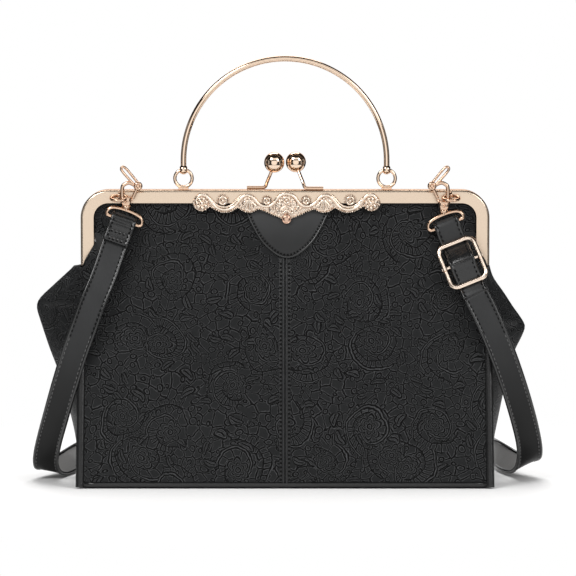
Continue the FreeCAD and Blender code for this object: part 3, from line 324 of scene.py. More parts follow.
def lace(paint, spot):
    """Millimetres to the nearest line of a lace of flowers, scrolls, leaves and net."""
    for slow, reach in ((0.02, 16), (0.07, 5), (0.4, 1.1)):
        sway = paint.vector("SUBTRACT", paint.noise(spot, slow, 1, "Color"), (0.5, 0.5, 0.5))
        spot = paint.vector("ADD", spot, paint.scaled(sway, reach))
    net = paint.cells(spot, 1 / 6, "DISTANCE_TO_EDGE", 0.95) * 6
    x, y, far, angle, chance = around(paint, spot, 38, 0.8, (3, 5, 0))
    turn = angle + chance * 6.283
    rim = 4.2 + (turn * 3).math("COSINE").size() * 2.6
    flower = ((far - rim) * 0.85).size().least((far - rim * 0.58).size()).least((far - 1.4).size())
    in_flower = paint.ramp(far - rim, 0.9, 0.8)
    pitch = 11
    coil = (far - 8.8 - turn * (pitch / TURN)) / pitch
    lap = coil.math("FRACT") * pitch
    wide = (turn + chance * 9).math("SINE") * 2 + 3.6
    count = coil.math("FLOOR") * 22 + 34
    ribs = ((turn * count / TURN).math("FRACT") - 0.5).size() * far * TURN / count
    on_band = paint.ramp(lap, 0.3, 0.5) * paint.ramp(lap - wide, 0.6, 0.4)
    bands = (lap - 0.5).size().least((lap - wide - 0.5).size()).least((lap - wide - 1.9).size())
    bands = bands.least(ribs * 1.1 + (1 - on_band) * FAR_OFF)
    reach = 15 + (angle + chance * 17).math("SINE") * 5
    in_coil = paint.ramp(far - reach, 0.1, 0) * paint.ramp(far - rim, 0.8, 0.9)
    lx, ly, lfar, langle, lchance = around(paint, spot, 13, 0.8, (41, 17, 0))
    lean = lchance * 6.283
    along_leaf = lx * lean.math("COSINE") + ly * lean.math("SINE")
    across = ly * lean.math("COSINE") - lx * lean.math("SINE")
    curl = across - along_leaf * along_leaf * 0.07
    shape = (along_leaf * along_leaf * 0.22 + curl * curl).math("SQRT").most(0.01)
    steep = (along_leaf * along_leaf * 0.05 + curl * curl).math("SQRT") / shape
    in_leaf = paint.ramp(shape, 2.4, 2.3) * paint.ramp(lchance, 0.35, 0.36)
    vein = curl.size() + paint.ramp(shape, 1.2, 1.4) * FAR_OFF
    leaf = ((shape - 1.9) / steep.most(0.4)).size().least(vein)
    dx, dy, dfar, dangle, dchance = around(paint, spot, 7, 0.75, (11, 29, 0))
    round_size = dchance * 1.3 + 0.7
    in_dot = paint.ramp(dfar - round_size, 0.7, 0.6)
    ground = either(in_dot, (dfar - round_size).size(), net)
    ground = either(in_leaf, leaf, ground)
    taken = (in_coil * paint.ramp(lap - wide, 2.5, 2.4)).most(in_flower)
    ground = (ground + taken * FAR_OFF).least(bands + (1 - in_coil) * FAR_OFF)
    return ground.least(flower + (1 - in_flower) * FAR_OFF)


def pebble(paint, spot, grain):
    """The skin of leather: small soft cells of a given size in millimetres."""
    cells = paint.cells(spot, 1 / grain, "SMOOTH_F1")
    return cells * 0.7 + paint.noise(spot, 0.5 / grain, 3) * 0.6


def surface(paint):
    return paint.scaled(paint.place("UV"), LACE_UNIT)


def embossed_leather():
    """Fine pressed lines with raised lips, on a dull ground, with a painted highlight on the lips and
    painted shade in the grooves.
    """
    paint = Paint("embossed_leather", {"Specular IOR Level": 0.14, "Coat Roughness": 0.36})
    spot = surface(paint)
    gap = lace(paint, spot)
    broken = paint.ramp(paint.noise(spot, 0.7, 1), 0.34, 0.52, 0.5, 1)
    groove = paint.ramp(gap, PRESS, PRESS * 0.35) * broken
    lip = paint.ramp(gap, PRESS * 0.8, PRESS * 1.1) * paint.ramp(gap, PRESS * 2, PRESS * 1.3)
    skin = pebble(paint, spot, 0.6)
    worn = paint.noise(spot, 0.02, 3)
    dye_and_lip_highlight = paint.mix(worn, grey(0.0098, -0.05), grey(0.0135, -0.05))
    # Painted highlight: the raised lips are coloured lighter.
    dye_and_lip_highlight = paint.mix(lip * broken * 0.9, dye_and_lip_highlight, grey(0.066, -0.03))
    paint.set("Coat Weight", (worn * 0.2 + 0.02 + lip * 0.4) * (1 - groove))
    paint.bump(lip * 0.6 - groove + skin * 0.1, 0.0006)
    # Painted shade: the grooves are coloured nearly black.
    return paint.skin(groove, dye_and_lip_highlight, grey(0.001), skin + worn * 0.5, 0.1, 1.2, 0.45, 0.62)


def smooth_leather(name, gloss, dark, pale, grain, low, high, deep, foot=1, fade=(0.02, 0.13)):
    """Fine-grained leather, unevenly dyed; foot is how dark painted shade makes it at the low end of the
    heights in fade.
    """
    paint = Paint(name, {"Specular IOR Level": gloss})
    spot = surface(paint)
    skin = pebble(paint, spot, grain)
    worn = paint.noise(spot, 0.06, 3)
    height = paint.parts(paint.place())[2]
    shade = paint.mix(worn, grey(dark, -0.02), grey(pale, -0.02))
    # Painted shade: a darker copy of the dyed colour, used towards the low end of the heights in fade.
    painted_low_shade = paint.mix(worn, grey(dark * foot, -0.02), grey(pale * foot, -0.02))
    paint.bump(skin, deep)
    return paint.skin(paint.ramp(height, *fade), painted_low_shade, shade, skin + worn * 0.4, 0.2, 1.2, low, high)


def suede():
    paint = Paint("strap_suede", {"Specular IOR Level": 0.2, "Sheen Weight": 0.25, "Sheen Roughness": 0.5})
    spot = surface(paint)
    nap = paint.noise(spot, 2.4, 4)
    cloud = paint.noise(spot, 0.12, 2)
    paint.bump(nap, 0.00012)
    dark, pale = grey(0.088, 0.03), grey(0.19, 0.03)
    return paint.skin(nap * 0.6 + cloud * 0.4, dark, pale, nap, 0.2, 0.8, 0.8, 0.95)


def thread(name, dark, pale):
    paint = Paint(name, {"Specular IOR Level": 0.15})
    twist = paint.noise(paint.place(), 2600)
    return paint.skin(twist, grey(dark), grey(pale), twist, 0.2, 0.8, 0.45, 0.65)


def lining_cloth():
    """Plain weave, 0.7 mm to a thread."""
    paint = Paint("lining_cloth", {"Specular IOR Level": 0.25, "Sheen Weight": 0.15})
    x, y, z = paint.parts(surface(paint))
    weave = ((x * 8.98).math("SINE") * (y * 8.98).math("SINE")).size()
    slub = paint.noise(surface(paint), 0.35, 3)
    paint.bump(weave, 0.00012)
    dark, pale = grey(0.03, 0.03), grey(0.085, 0.03)
    return paint.skin(weave * 0.6 + slub * 0.4, dark, pale, slub, 0.2, 0.8, 0.7, 0.88)


def pressed_board():
    paint = Paint("pressed_board", {"Specular IOR Level": 0.2})
    speck = paint.noise(paint.place(), 1500, 3)
    return paint.skin(speck, grey(0.035), grey(0.06), speck, 0.2, 0.8, 0.75, 0.92)


floral = embossed_leather()
plain = smooth_leather("plain_leather", 0.6, 0.006, 0.01, 0.45, 0.18, 0.28, 0.00005)
# Tab leather: its colour is painted darker below 166 mm, down to four tenths at 144 mm, as painted shade on
# the tab's lower part.
tab_leather = smooth_leather("tab_leather", 0.4, 0.034, 0.046, 0.4, 0.32, 0.44, 0.00005, 0.4,
                             (0.144, 0.166))
# Seam strip leather: plain, and painted lighter than the wall as a painted highlight on the seam's ridges.
highlit_seam_leather = smooth_leather("highlit_seam_leather", 0.4, 0.018, 0.028, 0.5, 0.28, 0.4, 0.00006)
# Strap leather: its colour is painted darker below 130 mm, down to a tenth at 20 mm, as painted shade near
# the floor.
strap_skin = smooth_leather("strap_leather", 0.24, 0.031, 0.046, 0.6, 0.3, 0.44, 0.00008, 0.1)
# Glossier strap leather for the flap and the bend over the crossbar, its colour painted darker than the
# strap as painted shade.
shaded_worn_skin = smooth_leather("shaded_worn_leather", 0.6, 0.009, 0.015, 0.6, 0.18, 0.28, 0.00006)
strap_rim = smooth_leather("strap_edge", 0.7, 0.008, 0.014, 0.8, 0.16, 0.26, 0.00004)
strap_back_skin = suede()
black_thread = thread("black_thread", 0.002, 0.012)
grey_thread = thread("grey_thread", 0.06, 0.2)
lining = lining_cloth()

NODE_FINISHES = {
    satin_gold: ("front_frame", "back_frame", "hinge_rivet_left", "hinge_rivet_right"),
    polished_gold: ("clasp_ball_front", "clasp_ball_back", "handle_bow", "handle_bead_left",
                    "handle_bead_right", "handle_ring_left", "handle_ring_right"),
    fitting_gold: ("strap_ring_left", "strap_ring_right", "staple_left", "staple_right",
                   "gate_pin_left", "gate_pin_right"),
    pressed_board(): ("base_board",),
}
for finish, names in NODE_FINISHES.items():
    for name in names:
        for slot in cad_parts[name].material_slots:
            slot.material = finish


# Shaping helpers

def along(table, place):
    """A smooth reading between the rows of a table of place and value."""
    if place <= table[0][0]:
        return table[0][1]
    for i, ((a, low), (b, high)) in enumerate(zip(table, table[1:])):
        if place <= b:
            before = table[max(i - 1, 0)]
            after = table[min(i + 2, len(table) - 1)]
            rise = (high - before[1]) / (b - before[0]) * (b - a)
            fall = (after[1] - low) / (after[0] - a) * (b - a)
            t = (place - a) / (b - a)
            return (low * (2 * t ** 3 - 3 * t ** 2 + 1) + high * (3 * t ** 2 - 2 * t ** 3)
                    + rise * (t ** 3 - 2 * t ** 2 + t) + fall * (t ** 3 - t ** 2))
    return table[-1][1]


def ease(value, start, end):
    t = min(max((value - start) / (end - start), 0), 1)
    return t * t * (3 - 2 * t)


def marks_along(points):
    """How far along a line each of its points lies."""
    return list(accumulate(((b - a).length for a, b in zip(points, points[1:])), initial=0))


def turns(count):
    return [2 * pi * i / count for i in range(count)]


def heading(line, i):
    """Which way an open line runs at one of its points."""
    return line[min(i + 1, len(line) - 1)] - line[max(i - 1, 0)]


def square_to(way, side):
    """The part of a direction that is square to a way."""
    return (side - way * side.dot(way)).normalized()


def finished(name, mesh, materials):
    """A smooth object from a bmesh, at the origin."""
    data = bpy.data.meshes.new(name)
    mesh.to_mesh(data)
    mesh.free()
    piece = bpy.data.objects.new(name, data)
    bpy.context.collection.objects.link(piece)
    for material in materials:
        data.materials.append(material)
    data.shade_smooth()
    return piece


def fit(piece, node, slot, body, sharp=None):
    """Put a piece in place of a node and on its body, with its edges kept crisp above an angle."""
    if sharp:
        piece.data.set_sharp_from_angle(angle=radians(sharp))
    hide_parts(node)
    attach(piece, body)


def bend(piece, slot, half, *nodes):
    """Put a piece in place of nodes and bake its placement into its mesh. The half of the frame at the
    mouth is not used.
    """
    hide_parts(*nodes)
    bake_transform(piece)


def net_faces(mesh, rows, closed=False, flip=False, origin=(0, 0)):
    """Faces between rows of points in millimetres, with a flat map measured along them."""
    flat = mesh.loops.layers.uv.verify()
    wide = len(rows[0])
    middle = wide // 2
    ups = marks_along([row[middle] for row in rows])
    acrosses = []
    for row in rows:
        marks = marks_along(row + row[:1] if closed else row)
        acrosses.append([mark - marks[middle] for mark in marks])
    points = [[mesh.verts.new(point * MM) for point in row] for row in rows]
    made = []
    for i in range(len(rows) - 1):
        for j in range(wide if closed else wide - 1):
            k = (j + 1) % wide
            face = mesh.faces.new((points[i][j], points[i][k], points[i + 1][k], points[i + 1][j]))
            corners = (i, j), (i, j + 1), (i + 1, j + 1), (i + 1, j)
            for loop, (a, b) in zip(face.loops, corners):
                loop[flat].uv = (acrosses[a][b] + origin[0]) / LACE_UNIT, (ups[a] + origin[1]) / LACE_UNIT
            if flip:
                face.normal_flip()
            made.append(face)
    return points, made


def capped(mesh, rows):
    """A closed skin over rows of rings, shut at both ends."""
    points, faces = net_faces(mesh, rows, closed=True)
    mesh.faces.new(points[0])
    mesh.faces.new(points[-1])
    return faces


def shell(name, rows, wall, material, flip=False, origin=(0, 0)):
    """A lofted skin with a thickness behind its outer face."""
    mesh = bmesh.new()
    net_faces(mesh, rows, flip=flip, origin=origin)
    piece = finished(name, mesh, [material])
    fresh()
    bpy.context.view_layer.objects.active = piece
    piece.select_set(True)
    thick = piece.modifiers.new("thickness", "SOLIDIFY")
    thick.thickness = wall * MM
    thick.offset = -1
    bpy.ops.object.modifier_apply(modifier=thick.name)
    return piece


def smooth_line(points, closed=False, steps=6):
    """Points along a smooth spline whose control points are given."""
    curve = bpy.data.curves.new("line", "CURVE")
    curve.dimensions = "3D"
    curve.resolution_u = steps
    spline = curve.splines.new("NURBS")
    spline.points.add(len(points) - 1)
    for spot, point in zip(spline.points, points):
        spot.co = (*point, 1)
    spline.order_u = 3
    spline.use_cyclic_u = closed
    spline.use_endpoint_u = not closed
    thing = bpy.data.objects.new("line", curve)
    bpy.context.collection.objects.link(thing)
    bpy.context.view_layer.update()
    mesh = bpy.data.meshes.new_from_object(thing)
    spots = [vertex.co.copy() for vertex in mesh.vertices]
    bpy.data.objects.remove(thing)
    bpy.data.curves.remove(curve)
    bpy.data.meshes.remove(mesh)
    return spots


def sweep(mesh, line, across, profile, closed=False):
    """A band or rod along a line; the profile's points are across it and out of its face."""
    rows = []
    for i, spot in enumerate(line):
        way = line[(i + 1) % len(line)] - line[i - 1] if closed else heading(line, i)
        way.normalize()
        side = square_to(way, across[i] if isinstance(across, list) else across)
        out = side.cross(way)
        shape = profile(i) if callable(profile) else profile
        rows.append([spot + side * p + out * n for p, n in shape])
    if closed:
        rows.append(rows[0])
    points, faces = net_faces(mesh, rows, closed=True)
    if not closed:
        faces += [mesh.faces.new(points[0][::-1]), mesh.faces.new(points[-1])]
    return faces


def rod(mesh, points, profile, closed=False, steps=6):
    """A bar along a smooth line through control points that lie in an upright plane."""
    sweep(mesh, smooth_line(points, closed, steps), AFT, profile, closed)


def ring_of(radius, count, flat=1):
    return [(radius * cos(turn), radius * flat * sin(turn)) for turn in turns(count)]


def settle(mesh):
    bmesh.ops.remove_doubles(mesh, verts=mesh.verts, dist=1e-6)
    bmesh.ops.recalc_face_normals(mesh, faces=mesh.faces)


def fitting(name, mesh, material, node, body, sharp=55):
    """A finished metal piece in place of a node."""
    settle(mesh)
    piece = finished(name, mesh, [material])
    fit(piece, node, "bright_metal", body, sharp)
    return piece


STITCH_ARCH = (0, -0.9, 0.5), (0.16, 0.35, 0.9), (0.5, 0.75, 1), (0.84, 0.35, 0.9), (1, -0.9, 0.5)


def stitch(mesh, start, end, out, thick, index):
    """One stitch: a thread that rises from its hole, lies along the seam and goes down again."""
    way = end - start
    side = way.cross(out).normalized() * thick
    lift = out.normalized() * thick
    rings = []
    for share, high, wide in STITCH_ARCH:
        spot = start + way * share + lift * high
        loop = [spot + side * wide, spot + lift * wide * 0.8, spot - side * wide, spot - lift * wide]
        rings.append([mesh.verts.new(point * MM) for point in loop])
    made = []
    for low, high in zip(rings, rings[1:]):
        for j in range(4):
            made.append(mesh.faces.new((low[j], low[(j + 1) % 4], high[(j + 1) % 4], high[j])))
    made += [mesh.faces.new(rings[0][::-1]), mesh.faces.new(rings[-1])]
    for face in made:
        face.material_index = index
        face.smooth = True


def stitch_row(mesh, line, outs, pitch, share, thick, index):
    """Stitches at an even pitch along a line of points; index is a material, or gives one from a place."""
    marks = marks_along(line)
    step = 0
    ends = []
    for i in range(int(marks[-1] / pitch) * 2):
        place = (i // 2 + (0 if i % 2 == 0 else share)) * pitch + 0.2 * pitch
        while step < len(marks) - 2 and marks[step + 1] < place:
            step += 1
        t = (place - marks[step]) / max(marks[step + 1] - marks[step], 1e-9)
        ends.append((line[step].lerp(line[step + 1], min(t, 1)), outs[step]))
    for (a, out), (b, unused) in zip(ends[::2], ends[1::2]):
        stitch(mesh, a, b, out, thick, index(a) if callable(index) else index)


# Strap: the same route as the solids, with the band's turn at each point

HOOK_X, HOOK_Y, HOOK_Z, EYE_Z = 96.7, -13.186, 164.458, 161.858


class Way:
    """Directions of the strap at one swivel eye: down along it, across it and out of its front."""

    def __init__(self, side, angle, lift=0):
        lean, turn, drop = 0.42, radians(angle), 5
        self.lift = lift
        self.across = Vector((cos(turn), 0, side * sin(turn)))
        self.down = Vector((side * sin(turn), -lean, -cos(turn))).normalized()
        self.front = self.down.cross(self.across).normalized()
        self.top = Vector((side * HOOK_X, HOOK_Y, EYE_Z + lift))
        self.origin = self.top + Vector((side * sin(turn), 0, -cos(turn))) * drop

    def at(self, q, n, p=0):
        return self.origin + self.down * q + self.front * n + self.across * p


left_eye, right_eye = Way(-1, 20, 2.6), Way(1, 22)
FLAP = [(-0.2, 2.7), (2.2, 2.3), (4.6, 2.8), (8.2, 1.5), (11.5, 1.7), (15.6, 1.35)]
LEFT_FOLD = FLAP[::-1] + [(-2.9, 1.3), (-2.9, -1.3), (-0.2, -2.5), (5, -1.9), (12, -1.3), (21, -1.2)]
LEFT_ROUTE = [
    (-110.6, -27.6, 124.5, 0), (-116.5, -31.6, 111, 0), (-121.8, -34.2, 96, 0),
    (-127.9, -34.6, 80, 0), (-134, -33.4, 60, 0), (-139.8, -26, 40, 4),
    (-144.4, -16.5, 25, 8),
]
LEFT_TURN = [
    (-147.4, -8.5, 12, (0.98, 0.1, -0.18)), (-146.6, -2, 5.6, (0.97, 0.08, -0.16)),
    (-143.6, 7, 3.9, (0.95, 0, -0.24)), (-138.8, 18, 5.2, (0.84, 0, -0.54)),
    (-134.8, 32, 6.6, (0.72, 0, -0.7)), (-131.5, 49, 7, (0.6, 0, -0.8)),
    (-127.6, 65, 7.6, (0.3, 0, -0.95)),
]
FLOOR_ROUTE = [
    (-117, 75), (-98, 73), (-40, 69), (36, 71), (104, 70), (105, 98),
    (40, 97), (-38, 99), (-104, 98), (-105, 126), (-44, 125), (34, 127),
    (96, 124), (121, 112), (131, 92), (132.5, 70),
]
RIGHT_TURN = [
    (132.8, 54, 9.2, (0.2, 0, 0.98)), (136.4, 36, 8.2, (0.5, 0, 0.87)),
    (141.2, 20, 6.8, (0.75, 0, 0.66)), (146.4, 8, 6.4, (0.86, 0, 0.5)),
    (150, -2, 10.6, (0.92, -0.1, 0.38)), (150.4, -9, 17, (0.95, -0.2, 0.24)),
]
RIGHT_ROUTE = [
    (148.9, -15.5, 26, 8), (145.5, -22.5, 39, 4), (140, -30.2, 57, 0), (133.5, -34.4, 76, 0),
    (126.6, -35, 93, 0), (119.4, -32.6, 108.5, 0),
]
RIGHT_FOLD = [
    (48, -0.8), (41.8, -2.5), (38, -2.5), (32.9, -0.2), (29.2, 2.2), (26.2, 2.9), (23.2, 2.2),
    (19.4, -0.2), (14.6, -2.5), (10.8, -2.5), (7, 0), (3.4, 2.1), (-0.2, 2.6), (-2.9, 1.3),
    (-2.9, -1.3), (-0.2, -2.6), (4, -3.4), (9, -4.8), (15, -4.8), (21, -2.9), (26.5, -2.4),
]
STRAP_HALF = 8
STITCH_INSET = 5.75
STRAP_FOOT, CROSSBAR = 48, 26.2
SLIDER_LINE = [
    (-11.4, 12.5), (-1.4, 12.5), (1.4, 12.5), (11.4, 12.5), (11.4, 22.5), (11.4, 29.9), (11.4, 39.9),
    (1.4, 39.9), (-1.4, 39.9), (-11.4, 39.9), (-11.4, 29.9), (-11.4, 22.5),
]
ROLLED_EDGE = [
    (8, 0), (7.85, 0.7), (7.4, 1.12), (6.9, 1.24), (6.45, 1.1), (6.1, 0.72), (5.6, 0.74), (4.4, 0.86),
]
STRAP_PROFILE = [(-p, n) for p, n in ROLLED_EDGE] + [(0, 0.92)] + ROLLED_EDGE[::-1]
STRAP_PROFILE += [(p, -n) for p, n in ROLLED_EDGE[1:]] + [(0, -0.92)]
STRAP_PROFILE += [(-p, -n) for p, n in ROLLED_EDGE[:0:-1]]
BACK_FACES, RIM_FACES = range(21, 27), (*range(0, 5), *range(11, 21), *range(27, 32))
STRAP_SKINS = [strap_skin, strap_back_skin, grey_thread, strap_rim, black_thread, shaded_worn_skin]
SUEDE, GREY_THREAD, RIM, BLACK_THREAD, SHADED_WORN = range(1, 6)
FLAP_ROWS, SHADED_WORN_REACH = 30, 11.5


def band_across(way, turn, side):
    """The direction of the strap's width where it has turned from facing forwards to standing on edge."""
    forward, outward = square_to(way, -AFT), square_to(way, Vector((side, 0, 0)))
    lean = radians(turn)
    front = forward * cos(lean) + outward * sin(lean)
    return way.cross(front).normalized()


def strap_points():
    """Control points of the strap's middle line and of one edge."""
    middle = [left_eye.at(*spot) for spot in LEFT_FOLD]
    across = [-left_eye.across] * len(LEFT_FOLD)
    floor = [(x, y, 8.4, (0, 0, 1)) for x, y in FLOOR_ROUTE]
    left_turn = [(x, y, z, [-part for part in wide]) for x, y, z, wide in LEFT_TURN]
    ends = [right_eye.at(*spot) for spot in RIGHT_FOLD]
    routes = ((LEFT_ROUTE, -1), (left_turn, 0), (floor, 0), (RIGHT_TURN, 0), (RIGHT_ROUTE, 1))
    line = middle + [Vector(point[:3]) for route, side in routes for point in route] + ends
    for route, side in routes:
        for point in route:
            i = len(across)
            way = (line[i + 1] - line[i - 1]).normalized()
            across.append(band_across(way, point[3], side) if side else Vector(point[3]))
    across += [right_eye.across] * len(ends)
    return line, [spot + wide.normalized() * STRAP_HALF for spot, wide in zip(line, across)]


def add_slider():
    """The slider: a rounded loop of thick wire, and a bar across it whose sleeves hold its sides."""
    mesh = bmesh.new()
    line = smooth_line([right_eye.at(q, 0, p) for p, q in SLIDER_LINE], closed=True, steps=8)
    sweep(mesh, line, right_eye.front, ring_of(1.1, 14, 1.29), closed=True)
    loop = fitting("slider_frame", mesh, pale_gold, "slider_loop", "slider")
    mesh = bmesh.new()
    bar = [right_eye.at(CROSSBAR, 0, p) for p in (-13.1, -12.9, -6, 0, 6, 12.9, 13.1)]
    sweep(mesh, bar, right_eye.front, ring_of(1, 12))
    for sign in (-1, 1):
        sleeve = [right_eye.at(CROSSBAR + step, 0, sign * 11.4) for step in (-1.5, -1.2, 1.2, 1.5)]
        sweep(mesh, sleeve, right_eye.front, ring_of(1.62, 14))
    return [loop, fitting("slider_crossbar", mesh, pale_gold, "slider_bar", "slider")]


def strap_length(middle, across, first, last):
    """One length of the band, with suede behind, and edges that are rolled and stitched."""
    line, wides = middle[first:last + 1], across[first:last + 1]
    mesh = bmesh.new()
    faces = sweep(mesh, line, wides, STRAP_PROFILE)
    settle(mesh)
    crest = right_eye.at(CROSSBAR, 1)
    for i, face in enumerate(faces[:-2]):
        row, place = divmod(i, len(STRAP_PROFILE))
        if place in BACK_FACES and line[row].z < 120:
            face.material_index = SUEDE
        elif place in RIM_FACES:
            face.material_index = RIM
        # The flap and the bend over the crossbar take the darker, glossier leather with painted shade.
        elif first + row < FLAP_ROWS or (line[row] - crest).length < SHADED_WORN_REACH:
            face.material_index = SHADED_WORN
    for sign in (-1, 1):
        seam, outs = [], []
        for i, spot in enumerate(line):
            way = heading(line, i).normalized()
            wide = square_to(way, wides[i])
            outs.append(wide.cross(way))
            seam.append(spot + wide * (STITCH_INSET * sign) + outs[-1] * 0.76)
        stitch_row(mesh, seam, outs, 2.9, 0.66, 0.34,
                   lambda spot: BLACK_THREAD if spot.z > 92 else GREY_THREAD)
    return mesh


def add_strap():
    """The band from its sewn end at the left to its tail behind the slider, in separate lengths."""
    line, edge = strap_points()
    middle, side = smooth_line(line), smooth_line(edge)
    across = [b - a for a, b in zip(middle, side)]

    def nearest(target):
        return min(range(len(middle)), key=lambda i: (middle[i] - target).length)

    foot, crest = nearest(right_eye.at(STRAP_FOOT, -0.8)), nearest(right_eye.at(CROSSBAR, 2.9))
    mesh = strap_length(middle, across, 0, foot)
    for q in (8.8, 13.8):
        for step, lift, half, share, thick, index in (
                (0, 2.3, 5.4, 0.6, 0.4, GREY_THREAD), (0.9, 2.25, 5.9, 0.75, 0.45, BLACK_THREAD)):
            seam = [left_eye.at(q + step, lift, p) for p in (-half, half)]
            stitch_row(mesh, seam, [left_eye.front] * 2, 2.5, share, thick, index)
    for p in (-STITCH_INSET, STITCH_INSET):
        seam = [left_eye.at(q, along(FLAP, q) + 0.84, p) for q in range(1, 16)]
        stitch_row(mesh, seam, [left_eye.front] * len(seam), 2.6, 0.66, 0.36, BLACK_THREAD)
    strap = finished("strap", mesh, STRAP_SKINS)
    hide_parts("strap_left", "strap_back", "strap_right", "strap_end_left")
    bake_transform(strap)
    hump = finished("strap_hump", strap_length(middle, across, foot, crest), STRAP_SKINS)
    right_eye.at(48, 0) * MM
    right_eye.at(42.5, 0) * MM
    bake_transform(hump)
    loop = finished("strap_loop", strap_length(middle, across, crest, len(middle) - 1), STRAP_SKINS)
    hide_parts("strap_end_right")
    right_eye.at(10.5, 0) * MM
    right_eye.at(1, 0) * MM
    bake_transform(loop)
    [spot * MM for spot in middle[:foot + 1]]
    [hump, loop] + add_slider()


add_strap()


# Soft body: walls that billow out of the frame, folded sides, base, piping and lining

WING_TOP, BLUNT = 131.8, 0.07
WALL = [
    (0, 47.2), (30, 39.76), (60, 32.31), (100, 22.39), (131.8, 14.5), (146.9, 10.64), (158, 7.6),
    (170, 4.7), (176, 4.6),
]
EDGE = [
    (0, 123.9), (60, 123.7), (131.8, 123.4), (136, 121.9), (142, 118.4), (147, 115.9), (151, 116.9),
    (160, 117.2), (168, 115), (176, 107.4),
]
EDGE_DEPTH = [
    (0, 47.2), (60, 32.31), (131.8, 14.5), (136, 13.2), (142, 10.9), (147, 8.3), (152, 5.4), (158, 4.7),
    (176, 4.6),
]
LEFT_CREST = [
    (0, 125.6), (20, 128), (40, 132.2), (66, 139.4), (82, 145.2), (98, 150.7), (106, 152.6),
    (111, 150.8), (118.8, 142.8), (125, 136), (131, 129.4),
]
RIGHT_CREST = [
    (0, 125.6), (20, 128), (40, 131.6), (62, 136.4), (79, 141.2), (88, 145.6), (94, 147.4), (99, 145),
    (106, 140), (115, 134.2), (124, 128.2), (131, 125.8),
]
SEAM = {0: -0.7, 0.3: -0.3, 0.6: 0.4, 1: 0.55, 1.4: 0.4, 1.8: -0.1, 2.2: -0.35, 2.6: -0.4, 3: -0.3,
        3.4: 0.05, 4: 0.12, 5: 0.04, 7: 0}


def wall_depth(x, z, inset, seamed):
    """How far a wall stands from the middle of the bag, with its billow, its tucks and its seam."""
    edge = along(EDGE, z)
    share = abs(x) / edge
    puff = 2.4 * sin(pi * min(z / 133, 1)) ** 0.8 * (1 - share ** 5)
    sway = noise.noise(Vector((x * 0.017, z * 0.021, 3.7))) * 1.1
    sway = sway * (1 - share ** 4) * (1 - ease(z, 112, 136))
    depth = along(WALL, z) + max(puff, 0) + sway
    tuck = ease(z, 126, 142)
    rim = along(EDGE_DEPTH, z)
    near = ease(edge - abs(x), -1, 13)
    depth = depth * (1 - tuck) + (rim + (depth - rim) * near) * tuck
    if seamed:
        depth += next((b for a, b in SEAM.items() if abs(abs(x) - a) < 1e-6), 0) * (1 - ease(z, 164, 170))
    return depth - inset


def wall_rows(way, seamed, inset=0, low=1.9, high=175, trim=0):
    """Rows of a wall from its foot to its place in the frame."""
    spread = sorted({*SEAM, 11, 16, 22, *range(30, 91, 10), 98, 105, 110, 114, 117, 119.5, 121.5, 123, 124})
    spread = [-x for x in spread[:0:-1]] + spread
    heights = [low + (high - low) * i / 74 for i in range(75)]
    rows = []
    for z in heights:
        edge = along(EDGE, z) - trim
        row = []
        for x in spread:
            reach = abs(x) if abs(x) <= 7 else 7 + (abs(x) - 7) * (edge - 7) / 117
            at = copysign(reach, x)
            row.append(Vector((at, way * wall_depth(at, z, inset, seamed), z)))
        rows.append(row)
    return rows


def sew_seam(wall):
    """The seam down the middle of the front: smoother leather, painted lighter than the wall as a painted
    highlight on its ridges, stitched on both sides.
    """
    mesh = bmesh.new()
    mesh.from_mesh(wall.data)
    for x in (-2.6, 2.6):
        seam = [Vector((x, -wall_depth(x, z, -0.1, True), z)) for z in range(4, 137)]
        outs = [Vector((0, -1, -0.25)).normalized()] * len(seam)
        stitch_row(mesh, seam, outs, 2.5, 0.5, 0.6, 1)
    mesh.to_mesh(wall.data)
    mesh.free()
    wall.data.materials.append(black_thread)
    wall.data.materials.append(highlit_seam_leather)
    for face in wall.data.polygons:
        if face.material_index == 0 and abs(face.center.x) < 3.5 * MM:
            face.material_index = 2


def add_walls():
    """The front and back, and their linings."""
    fronts = "front_panel_left", "front_panel_right", "front_upper_left", "front_upper_right"
    halves = (-1, "front", (0, 0), fronts), (1, "back", (310, 40), ("back_panel", "back_upper"))
    for way, tag, origin, nodes in halves:
        wall = shell(f"{tag}_body", wall_rows(way, way < 0), 1.4, floral, flip=way > 0, origin=origin)
        if way < 0:
            sew_seam(wall)
        bend(wall, "embossed_leather", f"{tag}_frame", *nodes)
    for way, tag, origin, nodes in halves:
        inner = wall_rows(way, False, 1.7, 5, 168, 1.2)
        inner = shell(f"{tag}_lining", inner, 0.6, lining, flip=way > 0, origin=origin)
        bend(inner, "lining_cloth", f"{tag}_frame", f"lining_{tag}", f"lining_upper_{tag}")


def gusset_rows(side, inset, low, high):
    """Rows of a folded side, from the front piping over its crest to the back piping."""
    crest, peak = (LEFT_CREST, 106.5) if side < 0 else (RIGHT_CREST, 94)
    shares = [-1 + i / 20 for i in range(41)]
    rows = []
    for i in range(61):
        z = low + (high - low) * i / 60
        at = min(z, WING_TOP)
        edge, depth, tip = along(EDGE, at), along(WALL, at), along(crest, z)
        climb = min(max((z - peak) / (WING_TOP - peak), 0), 1)
        bend, rise = climb ** 0.45, 1 - climb ** 0.8
        row = []
        for share in shares:
            tent = 1 - (hypot(share, BLUNT) - BLUNT) / (hypot(1, BLUNT) - BLUNT)
            tent = tent ** (1 + 0.35 * ease(z, 30, 100))
            far = abs(share)
            if climb > 0:
                folded = 1 - (1 - rise) * far / bend
                if bend < min(far, 1):
                    folded = rise * (1 - far) / (1 - bend)
                tent += (folded - tent) * ease(climb, 0, 0.12)
            fold = noise.noise(Vector((share * 2.2, z * 0.035, side * 5))) * 1.3
            fold = fold * (1 - share ** 2) * ease(z, 4, 30)
            x = edge + (tip - edge) * tent + fold * (1 - 0.6 * tent) - inset * (1 + 0.8 * tent)
            row.append(Vector((side * x, share * (depth - inset * 0.5), z)))
        rows.append(row)
    return rows


